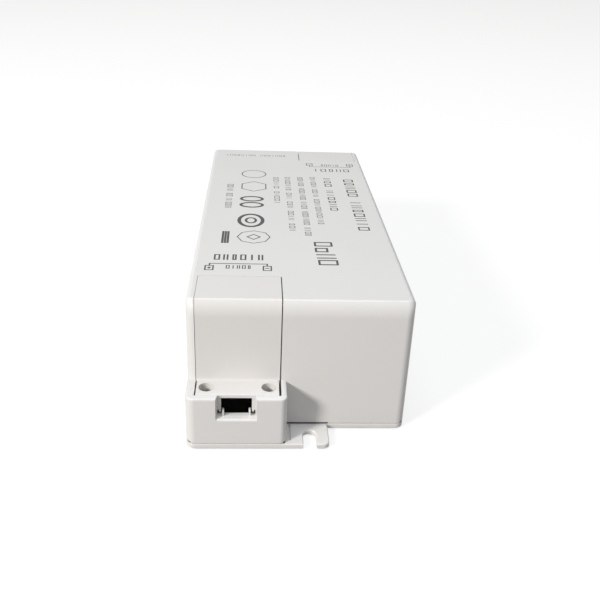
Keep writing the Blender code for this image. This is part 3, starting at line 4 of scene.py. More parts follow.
import bpy
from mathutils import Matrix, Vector


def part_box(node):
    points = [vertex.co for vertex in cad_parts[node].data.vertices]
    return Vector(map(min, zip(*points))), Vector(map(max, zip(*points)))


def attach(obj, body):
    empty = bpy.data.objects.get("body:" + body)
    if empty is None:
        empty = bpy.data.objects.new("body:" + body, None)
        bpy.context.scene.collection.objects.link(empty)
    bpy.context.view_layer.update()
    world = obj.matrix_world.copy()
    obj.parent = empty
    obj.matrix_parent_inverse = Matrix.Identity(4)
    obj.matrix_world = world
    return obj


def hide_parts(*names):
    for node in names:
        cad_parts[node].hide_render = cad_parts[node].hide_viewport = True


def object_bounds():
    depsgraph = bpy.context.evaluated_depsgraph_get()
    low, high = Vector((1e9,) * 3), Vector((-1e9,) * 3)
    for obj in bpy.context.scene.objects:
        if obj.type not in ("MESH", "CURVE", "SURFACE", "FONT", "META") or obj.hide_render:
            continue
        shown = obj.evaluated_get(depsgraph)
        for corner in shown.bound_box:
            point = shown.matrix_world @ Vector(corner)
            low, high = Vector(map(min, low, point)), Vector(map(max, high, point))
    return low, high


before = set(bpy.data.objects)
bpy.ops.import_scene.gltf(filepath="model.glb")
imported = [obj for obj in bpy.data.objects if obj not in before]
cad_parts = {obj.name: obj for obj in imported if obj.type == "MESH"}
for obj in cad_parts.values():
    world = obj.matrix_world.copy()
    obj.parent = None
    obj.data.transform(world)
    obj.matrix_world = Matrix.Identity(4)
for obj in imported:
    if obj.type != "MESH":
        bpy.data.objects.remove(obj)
cad_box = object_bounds()

# Base plate
# The moulded bottom of the driver, in the same white ABS as the case, with a slotted ear at each end.
# Its hooks snap into the case, and its rim and posts carry the board. Every edge is eased by the mould.

MM = 0.001
WELD = 0.001 * MM
FLAT_TURN = math.radians(0.5)
SHARP_TURN = math.radians(40)
PLATE_EDGE = 0.12 * MM
PLATE_WHITE = (0.78, 0.775, 0.765, 1)
DRIFT_SIZE = 24 * MM
DRIFT_DIMMING = 0.97
GRAIN_SIZE = 0.35 * MM
GRAIN_DEPTH = 0.004 * MM
# Painted shade, not dust: the joint between case and plate is darkened where its gap lies in shadow, most
# beside the foot.
JOINT_PAINTED_SHADE = 0.14
JOINT_LOW, LIP_LOW, JOINT_HIGH = 1.79 * MM, 2.0 * MM, 2.4 * MM

# Outlines in plan, in millimetres: from and to across, counted towards the foot, and the reach to both ends.
# Painted shade lies between the outer and the inner ones, and above LIP_LOW on the bottom of the wall behind
# an ear.
JOINT_OUTSIDE = ((-29.65, 29.65, 70.45), (3.65, 29.65, 79.65), (-8.6, 3.3, 70.55))
JOINT_LIP = ((-8.6, 3.3, 70.85),)
JOINT_INSIDE = ((-27.7, 27.7, 68.5), (5.3, 28.0, 78.0), (-29.0, -8.6, 71.0))


class Socket:
    """A node's output. An expression written with it adds one Math node for each operator."""

    def __init__(self, tree, output):
        self.tree = tree
        self.output = output

    def node(self, kind, settings, inputs, result=0):
        """Adds a node of this kind, its settings first and then the value or link of each input."""
        made = self.tree.nodes.new(kind)
        for name, value in settings.items():
            setattr(made, name, value)
        feed(made, inputs)
        return Socket(self.tree, made.outputs[result])

    def maths(self, operation, first, second=0.0):
        return self.node("ShaderNodeMath", {"operation": operation}, {0: first, 1: second})

    def __add__(self, other):
        return self.maths("ADD", self, other)

    __radd__ = __add__

    def __sub__(self, other):
        return self.maths("SUBTRACT", self, other)

    def __rsub__(self, other):
        return self.maths("SUBTRACT", other, self)

    def __mul__(self, other):
        return self.maths("MULTIPLY", self, other)

    __rmul__ = __mul__

    def __truediv__(self, other):
        return self.maths("DIVIDE", self, other)

    def __gt__(self, other):
        return self.maths("GREATER_THAN", self, other)

    def __lt__(self, other):
        return self.maths("LESS_THAN", self, other)

    def __abs__(self):
        return self.maths("ABSOLUTE", self)


def feed(node, inputs):
    """Gives each named input of a node its value, or its link where it varies."""
    for name, value in inputs.items():
        if isinstance(value, Socket):
            value.tree.links.new(value.output, node.inputs[name])
        else:
            node.inputs[name].default_value = value


def new_finish(name):
    """An empty finish: its material, its shader node, and the place on the object in metres."""
    finish = bpy.data.materials.new(name)
    finish.use_nodes = True
    tree = finish.node_tree
    coordinates = tree.nodes.new("ShaderNodeTexCoord")
    return finish, tree.nodes["Principled BSDF"], Socket(tree, coordinates.outputs["Object"])


def axis(place, number):
    """One of the three numbers of a place: 0 is X, 1 is Y and 2 is Z."""
    return place.node("ShaderNodeSeparateXYZ", {}, {0: place}, number)


def noise(place, size, detail=2.0):
    """Soft random blots about this big, from 0 to 1."""
    return place.node("ShaderNodeTexNoise", {}, {"Vector": place, "Scale": 1 / size, "Detail": detail})


def mixed(share, low, high):
    """One colour where the share is 0, another where it is 1."""
    return share.node("ShaderNodeMix", {"data_type": "RGBA"}, {0: share, 6: low, 7: high}, 2)


def raised(height, depth):
    """A surface that stands this far proud where the height is 1."""
    return height.node("ShaderNodeBump", {}, {"Height": height, "Distance": depth})


def dimmed(colour, share):
    """The same colour with less light in it."""
    return (*(part * share for part in colour[:3]), 1)


def in_plan(place, outlines):
    """1 inside any of these outlines as seen from above, and 0 outside them all."""
    lengthwise = axis(place, 1)
    along = abs(lengthwise)
    across = axis(place, 0) * lengthwise.maths("SIGN", lengthwise)
    covered = 0.0
    for low, high, reach in outlines:
        within = (across > low * MM) * (across < high * MM) * (along < reach * MM)
        covered = along.maths("MAXIMUM", covered, within)
    return covered


def white_moulding(name, colour):
    """White ABS from a spark-eroded mould: fine matt grain, drifting tone and gloss, and painted shade in the
    joint.
    """
    finish, shader, place = new_finish(name)
    drift = noise(place, DRIFT_SIZE, 3)
    grain = noise(place, GRAIN_SIZE)
    height = axis(place, 2)
    # Painted shade: the joint is darkened in colour where its gap lies in shadow, most along the ear beside
    # the foot.
    joint = in_plan(place, JOINT_OUTSIDE) * (height > JOINT_LOW)
    joint = joint.maths("MAXIMUM", joint, in_plan(place, JOINT_LIP) * (height > LIP_LOW))
    joint = joint * (1 - in_plan(place, JOINT_INSIDE)) * (height < JOINT_HIGH)
    clean = mixed(drift, dimmed(colour, DRIFT_DIMMING), colour)
    feed(shader, {
        "Base Color": mixed(joint, clean, dimmed(colour, JOINT_PAINTED_SHADE)),
        "Roughness": 0.34 + 0.10 * drift + 0.08 * grain,
        "Normal": raised(grain, GRAIN_DEPTH),
    })
    return finish


def select_only(*pieces):
    """Selects these pieces and no others, and makes the first one active."""
    bpy.ops.object.select_all(action="DESELECT")
    for piece in pieces:
        piece.select_set(True)
    bpy.context.view_layer.objects.active = pieces[0]


def apply(piece, kind, **settings):
    """Adds one modifier with these settings and applies it."""
    modifier = piece.modifiers.new(kind.lower(), kind)
    for name, value in settings.items():
        setattr(modifier, name, value)
    select_only(piece)
    bpy.ops.object.modifier_apply(modifier=modifier.name)


def wear(piece, finish):
    """Gives a piece this one finish."""
    if not piece.material_slots:
        piece.data.materials.append(finish)
    piece.material_slots[0].material = finish


def dress(node, finish):
    """Gives a part of the frame this one finish."""
    wear(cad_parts[node], finish)


def refined(node, name, finish, edge):
    """A closed copy of a solid with its sharp edges eased, which then stands for that solid."""
    piece = bpy.data.objects.new(name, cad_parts[node].data.copy())
    bpy.context.scene.collection.objects.link(piece)
    select_only(piece)
    bpy.ops.object.mode_set(mode="EDIT")
    bpy.ops.mesh.select_all(action="SELECT")
    bpy.ops.mesh.customdata_custom_splitnormals_clear()
    bpy.ops.mesh.remove_doubles(threshold=WELD)
    bpy.ops.mesh.dissolve_limited(angle_limit=FLAT_TURN)
    bpy.ops.object.mode_set(mode="OBJECT")
    apply(piece, "BEVEL", width=edge, segments=2, limit_method="ANGLE", angle_limit=SHARP_TURN,
          use_clamp_overlap=True)
    bpy.ops.object.shade_smooth_by_angle(angle=SHARP_TURN)
    apply(piece, "WEIGHTED_NORMAL", keep_sharp=True)
    wear(piece, finish)
    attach(piece, "root")
    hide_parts(node)
    return piece


refined("base_plate", "base_plate_moulding", white_moulding("base_plate_abs", PLATE_WHITE), PLATE_EDGE)

# Insulating sheet
# Black film, folded up at both ends, that keeps the live underside of the board off the base plate.
# It lies loose inside the rim. Its skin is nearly matt, with faint stretch marks along its length.

FILM_BLACK = (0.018, 0.018, 0.02, 1)
FILM_STREAK = (0.03, 0.03, 0.033, 1)
FILM_STRETCH = (0.6, 0.03, 1.0)
STREAK_SIZE = 0.8 * MM
STREAK_DEPTH = 0.01 * MM


def stretched(place, factors):
    """The place, squeezed or drawn out along each axis, for a pattern with a direction."""
    return place.node("ShaderNodeMapping", {}, {"Vector": place, "Scale": factors})


film, shader, place = new_finish("insulating_film_black")
streaks = noise(stretched(place, FILM_STRETCH), STREAK_SIZE, 3)
feed(shader, {
    "Base Color": mixed(streaks, FILM_BLACK, FILM_STREAK),
    "Roughness": 0.5 + 0.2 * streaks,
    "Normal": raised(streaks, STREAK_DEPTH),
})
dress("insulating_sheet", film)

# Circuit board
# Fibreglass under green solder mask. Tracks show through the mask as paler areas, and its edges are bare.
# Four screws hold it down on the posts of the base plate.

MASK_GREEN = (0.018, 0.11, 0.045, 1)
TRACK_GREEN = (0.045, 0.21, 0.085, 1)
BARE_EDGE = (0.42, 0.40, 0.22, 1)
TRACK_PITCH = 5.2 * MM
TRACK_GAP = 0.9 * MM
TRACK_PITCHES_LONG = 2.6
TRACK_HEIGHT = 0.03 * MM
CLOTH_SIZE = 0.5 * MM
CLOTH_STRETCH = (1, 1, 0.2)
EDGE_SKIN = 0.02 * MM

board_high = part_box("circuit_board")[1]
BOARD_TOP = board_high.z

mask, shader, place = new_finish("solder_mask_green")
tracks = place.node("ShaderNodeTexBrick", {"offset": 0.37, "squash": 0.7}, {
    "Vector": place, "Scale": 1 / TRACK_PITCH, "Brick Width": TRACK_PITCHES_LONG, "Row Height": 1.0,
    "Mortar Size": TRACK_GAP / TRACK_PITCH / 4, "Mortar Smooth": 0.1}, 1)
cloth = noise(stretched(place, CLOTH_STRETCH), CLOTH_SIZE, 1)
inside = (abs(axis(place, 0)) < board_high.x - EDGE_SKIN) * (abs(axis(place, 1)) < board_high.y - EDGE_SKIN)
gaps = mixed(cloth, MASK_GREEN, dimmed(MASK_GREEN, 0.8))
feed(shader, {
    "Base Color": mixed(inside, BARE_EDGE, mixed(tracks, TRACK_GREEN, gaps)),
    "Roughness": 0.30 + 0.15 * cloth,
    "Normal": raised(1 - tracks, TRACK_HEIGHT),
})
dress("circuit_board", mask)

# Board screws
# Four pan-head self-tappers in zinc-plated steel, one in each post. Plating leaves a faint yellow cast
# and the turned heads keep fine rings.

ZINC = (0.60, 0.58, 0.50, 1)
STAIN_SIZE = 1.1 * MM
TURNING_PITCH = 0.22 * MM
TURNING_DEPTH = 0.003 * MM


def about(place, centre):
    """How far a place is from this middle, across and along."""
    return axis(place, 0) - centre.x, axis(place, 1) - centre.y


def turned_steel(name, colour, centre):
    """Plated steel with rings from turning about the middle of a head."""
    finish, shader, place = new_finish(name)
    across, along = about(place, centre)
    radius = place.maths("SQRT", across * across + along * along)
    rings = place.maths("SINE", radius * (2 * math.pi / TURNING_PITCH))
    stain = noise(place, STAIN_SIZE, 3)
    feed(shader, {
        "Base Color": mixed(stain, dimmed(colour, 0.72), colour),
        "Metallic": 1.0,
        "Roughness": 0.27 + 0.18 * stain,
        "Normal": raised(rings, TURNING_DEPTH),
    })
    return finish


def middle(node):
    """The middle of a part's box."""
    low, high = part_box(node)
    return (low + high) / 2


for number in range(1, 5):
    screw = f"board_screw_{number}"
    dress(screw, turned_steel(f"{screw}_zinc", ZINC, middle(screw)))

# Terminal blocks
# One two-way screw block at each end, a green moulding with tinned clamps and steel screws, soldered to
# the board under the covers where the cables come in.

BLOCK_GREEN = (0.03, 0.26, 0.11, 1)
TIN = (0.68, 0.68, 0.66, 1)
FLECK_SIZE = 1.2 * MM
FLECK_DEPTH = 0.01 * MM
CLOUD_SIZE = 1.6 * MM
CLOUD_DEPTH = 0.004 * MM
LEADS_TOP = BOARD_TOP + 0.3 * MM


def leaded(name, colour, lead_top, fleck_size=FLECK_SIZE, matt=0.45):
    """A part of one moulded or dipped colour down to its tinned leads, which end at this height."""
    finish, shader, place = new_finish(name)
    body = axis(place, 2) > lead_top
    flecks = noise(place, fleck_size, 3)
    feed(shader, {
        "Base Color": mixed(body, TIN, mixed(flecks, dimmed(colour, 0.8), colour)),
        "Metallic": 1 - body,
        "Roughness": 0.28 + matt * 0.5 * body + 0.15 * flecks,
        "Normal": raised(flecks, FLECK_DEPTH),
    })
    return finish


def tinned(name):
    """Tin or zinc plate: bright, with slight clouding."""
    finish, shader, place = new_finish(name)
    clouds = noise(place, CLOUD_SIZE, 3)
    feed(shader, {
        "Base Color": mixed(clouds, dimmed(TIN, 0.85), TIN),
        "Metallic": 1.0,
        "Roughness": 0.22 + 0.16 * clouds,
        "Normal": raised(clouds, CLOUD_DEPTH),
    })
    return finish


block_finish = leaded("terminal_green", BLOCK_GREEN, LEADS_TOP)
clamp_finish = tinned("clamp_tin")
for end in ("output", "input"):
    dress(f"{end}_terminal_body", block_finish)
    for number in (1, 2):
        dress(f"{end}_terminal_clamp_{number}", clamp_finish)
        screw = f"{end}_terminal_screw_{number}"
        dress(screw, turned_steel(f"{screw}_zinc", ZINC, middle(screw)))

# Fuse
# A glass tube between two tinned end caps with leads, across the board beside the mains terminals.
# The glass is clear, with a slight green cast.

GLASS_GREEN = (0.86, 0.93, 0.92, 1)
GLASS_PALE = (0.93, 0.97, 0.96, 1)
SEED_SIZE = 0.8 * MM

glass, shader, place = new_finish("fuse_glass_clear")
seeds = noise(place, SEED_SIZE, 1)
feed(shader, {
    "Base Color": mixed(seeds, GLASS_GREEN, GLASS_PALE),
    "Roughness": 0.03 + 0.04 * seeds,
    "Transmission Weight": 0.9,
    "IOR": 1.5,
})
dress("fuse_glass", glass)
cap_finish = tinned("fuse_cap_tin")
for number in (1, 2):
    dress(f"fuse_cap_{number}", cap_finish)

# Surge disc, inrush disc and isolation disc
# Ceramic discs dipped in epoxy, each standing on two leads. The coating is glossy and slightly lumpy.

BLUE_DIP = (0.03, 0.13, 0.42, 1)
GREEN_DIP = (0.05, 0.17, 0.10, 1)
DIP_LUMPS = 2.5 * MM


def leads_under(node, body_tall):
    """The height at which the leads end under a part's body of this height."""
    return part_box(node)[1].z - body_tall


DISCS = {
    "surge_varistor": (BLUE_DIP, 10.0 * MM),
    "inrush_thermistor": (GREEN_DIP, 9.0 * MM),
    "isolation_capacitor": (BLUE_DIP, 8.0 * MM),
}
for node, (colour, across) in DISCS.items():
    dress(node, leaded(f"{node}_dip", colour, leads_under(node, across), DIP_LUMPS, matt=0.15))

# Mains filter capacitor
# A film capacitor sealed in a yellow box, beside the choke. The box is smooth and only faintly clouded.

FILM_YELLOW = (0.74, 0.47, 0.05, 1)
BOX_CLOUDS = 4 * MM
dress("x_capacitor", leaded("film_capacitor_yellow", FILM_YELLOW, LEADS_TOP, BOX_CLOUDS, matt=0.3))

# Mains choke and output inductor
# Two toroids wound by hand in enamelled wire. The choke has a bare ferrite core on a moulded stand and
# two windings, and the inductor a powder core in yellow paint with one.

FERRITE_BLACK = (0.035, 0.035, 0.038, 1)
CORE_YELLOW = (0.62, 0.47, 0.06, 1)
COPPER = (0.72, 0.27, 0.10, 1)
WIRE_PITCH = 1.1 * MM
WIRE_TONE_TURN = 0.18
LACQUER_DEPTH = 0.004 * MM


def pressed(name, colour, grain_size, grain_depth):
    """Pressed or painted powder: matt, with a sandy grain."""
    finish, shader, place = new_finish(name)
    sand = noise(place, grain_size, 4)
    feed(shader, {
        "Base Color": mixed(sand, dimmed(colour, 0.65), colour),
        "Roughness": 0.5 + 0.25 * sand,
        "Normal": raised(sand, grain_depth),
    })
    return finish


def enamelled(name, centre):
    """Copper wire under enamel: each turn catches the light at its own tone round the ring."""
    finish, shader, place = new_finish(name)
    across, along = about(place, centre)
    angle = across.maths("ARCTAN2", along, across)
    tone = noise(place.node("ShaderNodeCombineXYZ", {}, {"X": angle, "Y": 0.0, "Z": 0.0}), WIRE_TONE_TURN, 1)
    lacquer = noise(place, WIRE_PITCH, 2)
    feed(shader, {
        "Base Color": mixed(tone, dimmed(COPPER, 0.6), COPPER),
        "Metallic": 0.9,
        "Roughness": 0.2 + 0.15 * lacquer,
        "Normal": raised(lacquer, LACQUER_DEPTH),
    })
    return finish


for node, name, colour, grain_size, grain_depth in (
        ("choke_core", "choke_ferrite", FERRITE_BLACK, 0.4 * MM, 0.02 * MM),
        ("output_inductor_core", "inductor_paint", CORE_YELLOW, 0.6 * MM, 0.01 * MM),
        ("choke_stand", "choke_stand_black", FERRITE_BLACK, 0.3 * MM, 0.004 * MM)):
    dress(node, pressed(name, colour, grain_size, grain_depth))
for ring, windings in (("choke_core", ("choke_line_winding", "choke_neutral_winding")),
                       ("output_inductor_core", ("output_inductor_winding",))):
    for node in windings:
        dress(node, enamelled(f"{node}_enamel", middle(ring)))

# Electrolytic capacitors
# Aluminium cans in a shrunk sleeve that is rolled over the rim, with a pale stripe down the negative side
# and a bare scored top. The largest smooths the rectified mains.

SLEEVE_BLUE = (0.02, 0.03, 0.075, 1)
STRIPE = (0.45, 0.47, 0.50, 1)
CAN_TOP = (0.72, 0.73, 0.74, 1)
SLEEVE_LIP = 1.3 * MM
SLEEVE_ROLL = 0.4 * MM
SLEEVE_LOW = BOARD_TOP + 0.25 * MM
SLEEVE_RIPPLE, RIPPLE_DEPTH = 2 * MM, 0.02 * MM
STRIPE_HALF = 0.35
SCORE_WIDTH = 0.35 * MM


def can(node):
    """Sleeve, stripe, bare top with two scored lines, and leads."""
    low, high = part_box(node)
    centre = (low + high) / 2
    radius = (high.x - low.x) / 2
    finish, shader, place = new_finish(f"{node}_sleeve")
    across, along = about(place, centre)
    height = axis(place, 2)
    reach = across * across + along * along
    top = (height > high.z - SLEEVE_ROLL) * (reach < (radius - SLEEVE_LIP) ** 2)
    body = height > SLEEVE_LOW
    stripe = (across > 0.0) * (abs(along) < STRIPE_HALF * radius)
    score = 1 - (abs(across) > SCORE_WIDTH / 2) * (abs(along) > SCORE_WIDTH / 2)
    ripple = noise(place, SLEEVE_RIPPLE, 3)
    sleeve = mixed(stripe, SLEEVE_BLUE, STRIPE)
    bare = mixed(score, CAN_TOP, dimmed(CAN_TOP, 0.4))
    feed(shader, {
        "Base Color": mixed(body, TIN, mixed(top, sleeve, bare)),
        "Metallic": 1 - body * (1 - top),
        "Roughness": 0.25 + 0.15 * ripple,
        "Normal": raised(ripple, RIPPLE_DEPTH),
    })
    dress(node, finish)


for node in ("bulk_capacitor", "supply_capacitor", "output_capacitor_1", "output_capacitor_2"):
    can(node)

# Rectifier, chips and transistors
# Black epoxy packages on tinned leads. The bridge, the switch, the output rectifier and the voltage reference
# stand up, and the controller and the optocoupler lie over the board on two rows of pins.

EPOXY = (0.022, 0.022, 0.023, 1)
EPOXY_GRAIN = 0.5 * MM
PACKAGE_TALL = 15.6 * MM
BRIDGE_TALL = 11.0 * MM
REFERENCE_TALL = 4.6 * MM
CHIP_SHOULDER = BOARD_TOP + 2.2 * MM

for node, start in {
    "bridge_rectifier": leads_under("bridge_rectifier", BRIDGE_TALL),
    "switching_transistor": leads_under("switching_transistor", PACKAGE_TALL),
    "output_rectifier": leads_under("output_rectifier", PACKAGE_TALL),
    "voltage_reference": leads_under("voltage_reference", REFERENCE_TALL),
    "controller_chip": CHIP_SHOULDER,
    "optocoupler": CHIP_SHOULDER,
}.items():
    dress(node, leaded(f"{node}_epoxy", EPOXY, start, EPOXY_GRAIN, matt=0.6))

# Heatsinks, pads and clamping screws
# Two extruded aluminium combs. Each carries one power package, pressed to a grey silicone pad by a screw.

SINK_METAL = (0.70, 0.71, 0.72, 1)
PAD_GREY = (0.40, 0.45, 0.47, 1)
DIE_STRETCH = (1.0, 1.0, 0.02)
DIE_LINE_SIZE, DIE_LINE_DEPTH = 0.25 * MM, 0.01 * MM

extruded, shader, place = new_finish("extruded_aluminium")
lines = noise(stretched(place, DIE_STRETCH), DIE_LINE_SIZE, 3)
feed(shader, {
    "Base Color": mixed(lines, dimmed(SINK_METAL, 0.8), SINK_METAL),
    "Metallic": 1.0,
    "Roughness": 0.3 + 0.2 * lines,
    "Normal": raised(lines, DIE_LINE_DEPTH),
})
pad_finish = pressed("silicone_pad_grey", PAD_GREY, 0.7 * MM, 0.01 * MM)
for sink, pad, screw in (("primary_heatsink", "transistor_pad", "transistor_screw"),
                         ("secondary_heatsink", "rectifier_pad", "rectifier_screw")):
    dress(sink, extruded)
    dress(pad, pad_finish)
    dress(screw, tinned(f"{screw}_zinc"))

# Transformer
# Two E-shaped ferrite halves round a black bobbin. The winding is wrapped in yellow tape, whose layers
# overlap in bands.

TAPE_YELLOW = (0.80, 0.60, 0.07, 1)
TAPE_BAND = 2.4 * MM
TAPE_STEP = 0.04 * MM

tape, shader, place = new_finish("winding_tape_yellow")
bands = place.node("ShaderNodeTexWave", {"bands_direction": "Z"}, {
    "Vector": place, "Scale": 1 / TAPE_BAND, "Distortion": 0.4, "Detail": 1.0}, 1)
feed(shader, {
    "Base Color": mixed(bands, dimmed(TAPE_YELLOW, 0.85), TAPE_YELLOW),
    "Roughness": 0.22 + 0.1 * bands,
    "Normal": raised(bands, TAPE_STEP),
})
dress("transformer_winding", tape)
core_finish = pressed("transformer_ferrite", FERRITE_BLACK, 0.35 * MM, 0.02 * MM)
for half in ("lower", "upper"):
    dress(f"transformer_core_{half}", core_finish)
dress("transformer_bobbin", leaded("bobbin_black", EPOXY, LEADS_TOP))

# Diode and resistors
# Axial parts lying on bent leads. The resistors wear lacquer with colour rings, the diode one silver ring.

LACQUER = (0.50, 0.36, 0.20, 1)
RING_BROWN = (0.12, 0.05, 0.02, 1)
RING_BLACK = (0.02, 0.02, 0.02, 1)
RING_GOLD = (0.55, 0.38, 0.08, 1)
RING_SILVER = (0.62, 0.62, 0.62, 1)
RING_HALF = 0.045
RUN_SIZE, RUN_DEPTH = 1.2 * MM, 0.01 * MM


def ringed(node, length, colour, rings):
    """A body between bent leads, with rings of colour at these shares of its length."""
    centre = middle(node)
    finish, shader, place = new_finish(f"{node}_lacquer")
    along = (axis(place, 1) - (centre.y - length / 2)) / length
    body = (along > 0.0) * (along < 1.0)
    runs = noise(place, RUN_SIZE, 2)
    paint = mixed(runs, dimmed(colour, 0.85), colour)
    for share, tone in rings:
        paint = mixed(abs(along - share) < RING_HALF, paint, tone)
    feed(shader, {
        "Base Color": mixed(body, TIN, paint),
        "Metallic": 1 - body,
        "Roughness": 0.28 + 0.2 * runs,
        "Normal": raised(runs, RUN_DEPTH),
    })
    dress(node, finish)


COLOUR_RINGS = ((0.2, RING_BROWN), (0.38, RING_BLACK), (0.56, RING_BROWN), (0.84, RING_GOLD))
ringed("clamp_resistor", 9.0 * MM, LACQUER, COLOUR_RINGS)
ringed("bleed_resistor", 6.0 * MM, LACQUER, COLOUR_RINGS)
ringed("clamp_diode", 5.0 * MM, EPOXY, ((0.85, RING_SILVER),))

# Case
# The upper shell, one white ABS moulding with a low foot at each end. Each foot has a notch for its cable,
# and the corner behind it is left open for a cover.

CASE_WHITE = (0.77, 0.77, 0.765, 1)
CASE_EDGE = 0.15 * MM

# The bend is beyond BEND_REACH and between these two drops under the roof. Its shading leans by BEND_TILT at
# the upper one, more than the solid does there, and is upright at the lower.
BEND_REACH = 68.0 * MM
BEND_LOW, BEND_HIGH = 4.0 * MM, 0.6 * MM
BEND_TILT = math.radians(38)


def rounded_ends(piece):
    """Shades the bend between each end and the roof as one soft round instead of by its facets."""
    mesh = piece.data
    facing = []
    for corner, turned in zip(mesh.loops, mesh.corner_normals):
        place, normal = mesh.vertices[corner.vertex_index].co, turned.vector.copy()
        drop = cad_box[1].z - place.z
        if abs(place.y) > BEND_REACH and normal.y * place.y > 0 and BEND_HIGH < drop < BEND_LOW:
            flat = Vector((normal.x, normal.y, 0)).normalized()
            tilt = math.asin(normal.z)
            wanted = BEND_TILT * (BEND_LOW - drop) / (BEND_LOW - BEND_HIGH)
            tilt += (wanted - tilt) * flat.y ** 2
            normal = flat * math.cos(tilt) + Vector((0, 0, math.sin(tilt)))
        facing.append(normal)
    mesh.normals_split_custom_set(facing)


rounded_ends(refined("case", "case_moulding", white_moulding("case_abs", CASE_WHITE), CASE_EDGE))

# Terminal covers
# Two L-shaped covers in the same plastic, from another mould and a little warmer. Each closes a corner of
# the case, and is held by two screws sunk in its ledge.

COVER_WHITE = (0.765, 0.758, 0.745, 1)
COVER_EDGE = 0.12 * MM
cover_finish = white_moulding("cover_abs", COVER_WHITE)
for end in ("output", "input"):
    rounded_ends(refined(f"{end}_terminal_cover", f"{end}_cover_moulding", cover_finish, COVER_EDGE))

# Cover screws
# Cross-recessed self-tappers at the bottom of the sunk holes. Their passivated zinc has gone olive.

OLIVE_ZINC = (0.33, 0.32, 0.24, 1)
for end in ("output", "input"):
    for number in (1, 2):
        screw = f"{end}_cover_screw_{number}"
        dress(screw, turned_steel(f"{screw}_zinc", OLIVE_ZINC, middle(screw)))

# Printed marks
# Grey ink, screen-printed on the top: a sign over each wire at the ends and, where a rating label would be,
# lines of plain frames and strokes that say nothing. The film of ink is just proud of the plastic.

INK_GREY = (0.055, 0.055, 0.058, 1)
INK_THIN = (0.16, 0.16, 0.165, 1)
INK_THICK = 0.02 * MM
INK_SINK = 0.005 * MM
INK_BED = cad_box[1].z - INK_SINK
BLOT_SIZE, BLOT_DEPTH = 0.5 * MM, 0.002 * MM

# The shapes that print is made of, each with its share of a cell, and the order in which they follow.
SHAPES = (("frame", 0.72), ("pair", 0.6), ("frame", 0.5), ("stroke", 0.5))
ORDER = (0, 1, 2, 0, 3, 1, 0, 2, 1, 3, 0)


def ink(name):
    """Ink that lets a little of the white through where the squeegee ran thin."""
    finish, shader, place = new_finish(name)
    thin = noise(place, BLOT_SIZE, 3)
    feed(shader, {
        "Base Color": mixed(thin, dimmed(INK_GREY, 0.8), INK_THIN),
        "Roughness": 0.5 + 0.2 * thin,
        "Normal": raised(thin, BLOT_DEPTH),
    })
    return finish


def metres(*sizes):
    """These sizes in millimetres, in metres."""
    return [size * MM for size in sizes]


def settled():
    """Applies the place, turn and size of the selected piece to its mesh, and gives the piece."""
    bpy.ops.object.transform_apply(location=True, rotation=True, scale=True)
    return bpy.context.object


def bar(x, y, wide, long):
    """One flat rectangle of ink about this middle."""
    bpy.ops.object.select_all(action="DESELECT")
    bpy.ops.mesh.primitive_plane_add(size=1, location=(x, y, INK_BED))
    bpy.ops.transform.resize(value=(wide, long, 1))
    return settled()


def hollow(made, line):
    """Leaves only a line of this width round the edge of a flat piece."""
    bpy.ops.object.mode_set(mode="EDIT")
    bpy.ops.mesh.select_all(action="SELECT")
    bpy.ops.mesh.inset(thickness=line)
    bpy.ops.mesh.delete(type="FACE")
    bpy.ops.object.mode_set(mode="OBJECT")
    return made


def outline(x, y, wide, long, line, corners):
    """A regular outline: its middle, its full size, its line width and how many corners it has."""
    bpy.ops.object.select_all(action="DESELECT")
    bpy.ops.mesh.primitive_circle_add(
        vertices=corners, radius=0.5, fill_type="NGON", location=(x, y, INK_BED))
    bpy.ops.transform.resize(value=(wide, long, 1))
    return hollow(settled(), line)


def joined(marks):
    """Makes one piece of several marks."""
    select_only(*marks)
    bpy.ops.object.join()
    return bpy.context.object


def drawn_shape(kind, long, tall, line, across):
    """A frame, a pair of strokes or a stroke, at the middle of the driver, this long as it is written."""
    def stroke(along, size):
        return bar(along, 0, size, tall) if across else bar(0, along, tall, size)

    if kind == "frame":
        return hollow(stroke(0, long), line)
    if kind == "pair":
        return joined([stroke(-(long - line) / 2, line), stroke((long - line) / 2, line)])
    return stroke(0, line)


def written(x, y, words, cell, tall, line, across=False, first=0):
    """A line of print along Y, or across it, from this start: how many shapes each word has."""
    models = [drawn_shape(kind, share * cell, tall, line, across) for kind, share in SHAPES]
    made = []
    along, number = cell / 2, first
    for count in words:
        for _ in range(count):
            select_only(models[ORDER[number % len(ORDER)]])
            bpy.ops.object.duplicate()
            step = (x + along, y, 0) if across else (x, y + along, 0)
            bpy.ops.transform.translate(value=step)
            made.append(settled())
            along, number = along + cell, number + 1
        along += cell
    select_only(*models)
    bpy.ops.object.delete()
    return made


def printed(name, marks):
    """Joins marks into one film of ink and gives it its thickness."""
    film = joined(marks)
    film.name = name
    apply(film, "SOLIDIFY", thickness=INK_THICK, offset=1.0)
    wear(film, ink_finish)
    return film


PLUS_X, MINUS_X = metres(-25.0, -8.8)
SIGN_Y, SIGN_SIZE = metres(-50.6, 1.2)
BOX_WIDE, BOX_LONG = metres(2.6, 3.3)
BRACKET_Y = -47.7 * MM
TITLE_Y, TITLE_LONG = metres(-43.1, 15.0)
NOTE_Y, NOTE_HALF, NOTE_CELL, NOTE_TALL = metres(-49.9, 3.7, 1.5, 2.3)
NOTE_SHAPES, NOTE_FIRST = 5, 3
TITLE_WEIGHT, NOTE_WEIGHT = 1.25, 0.75


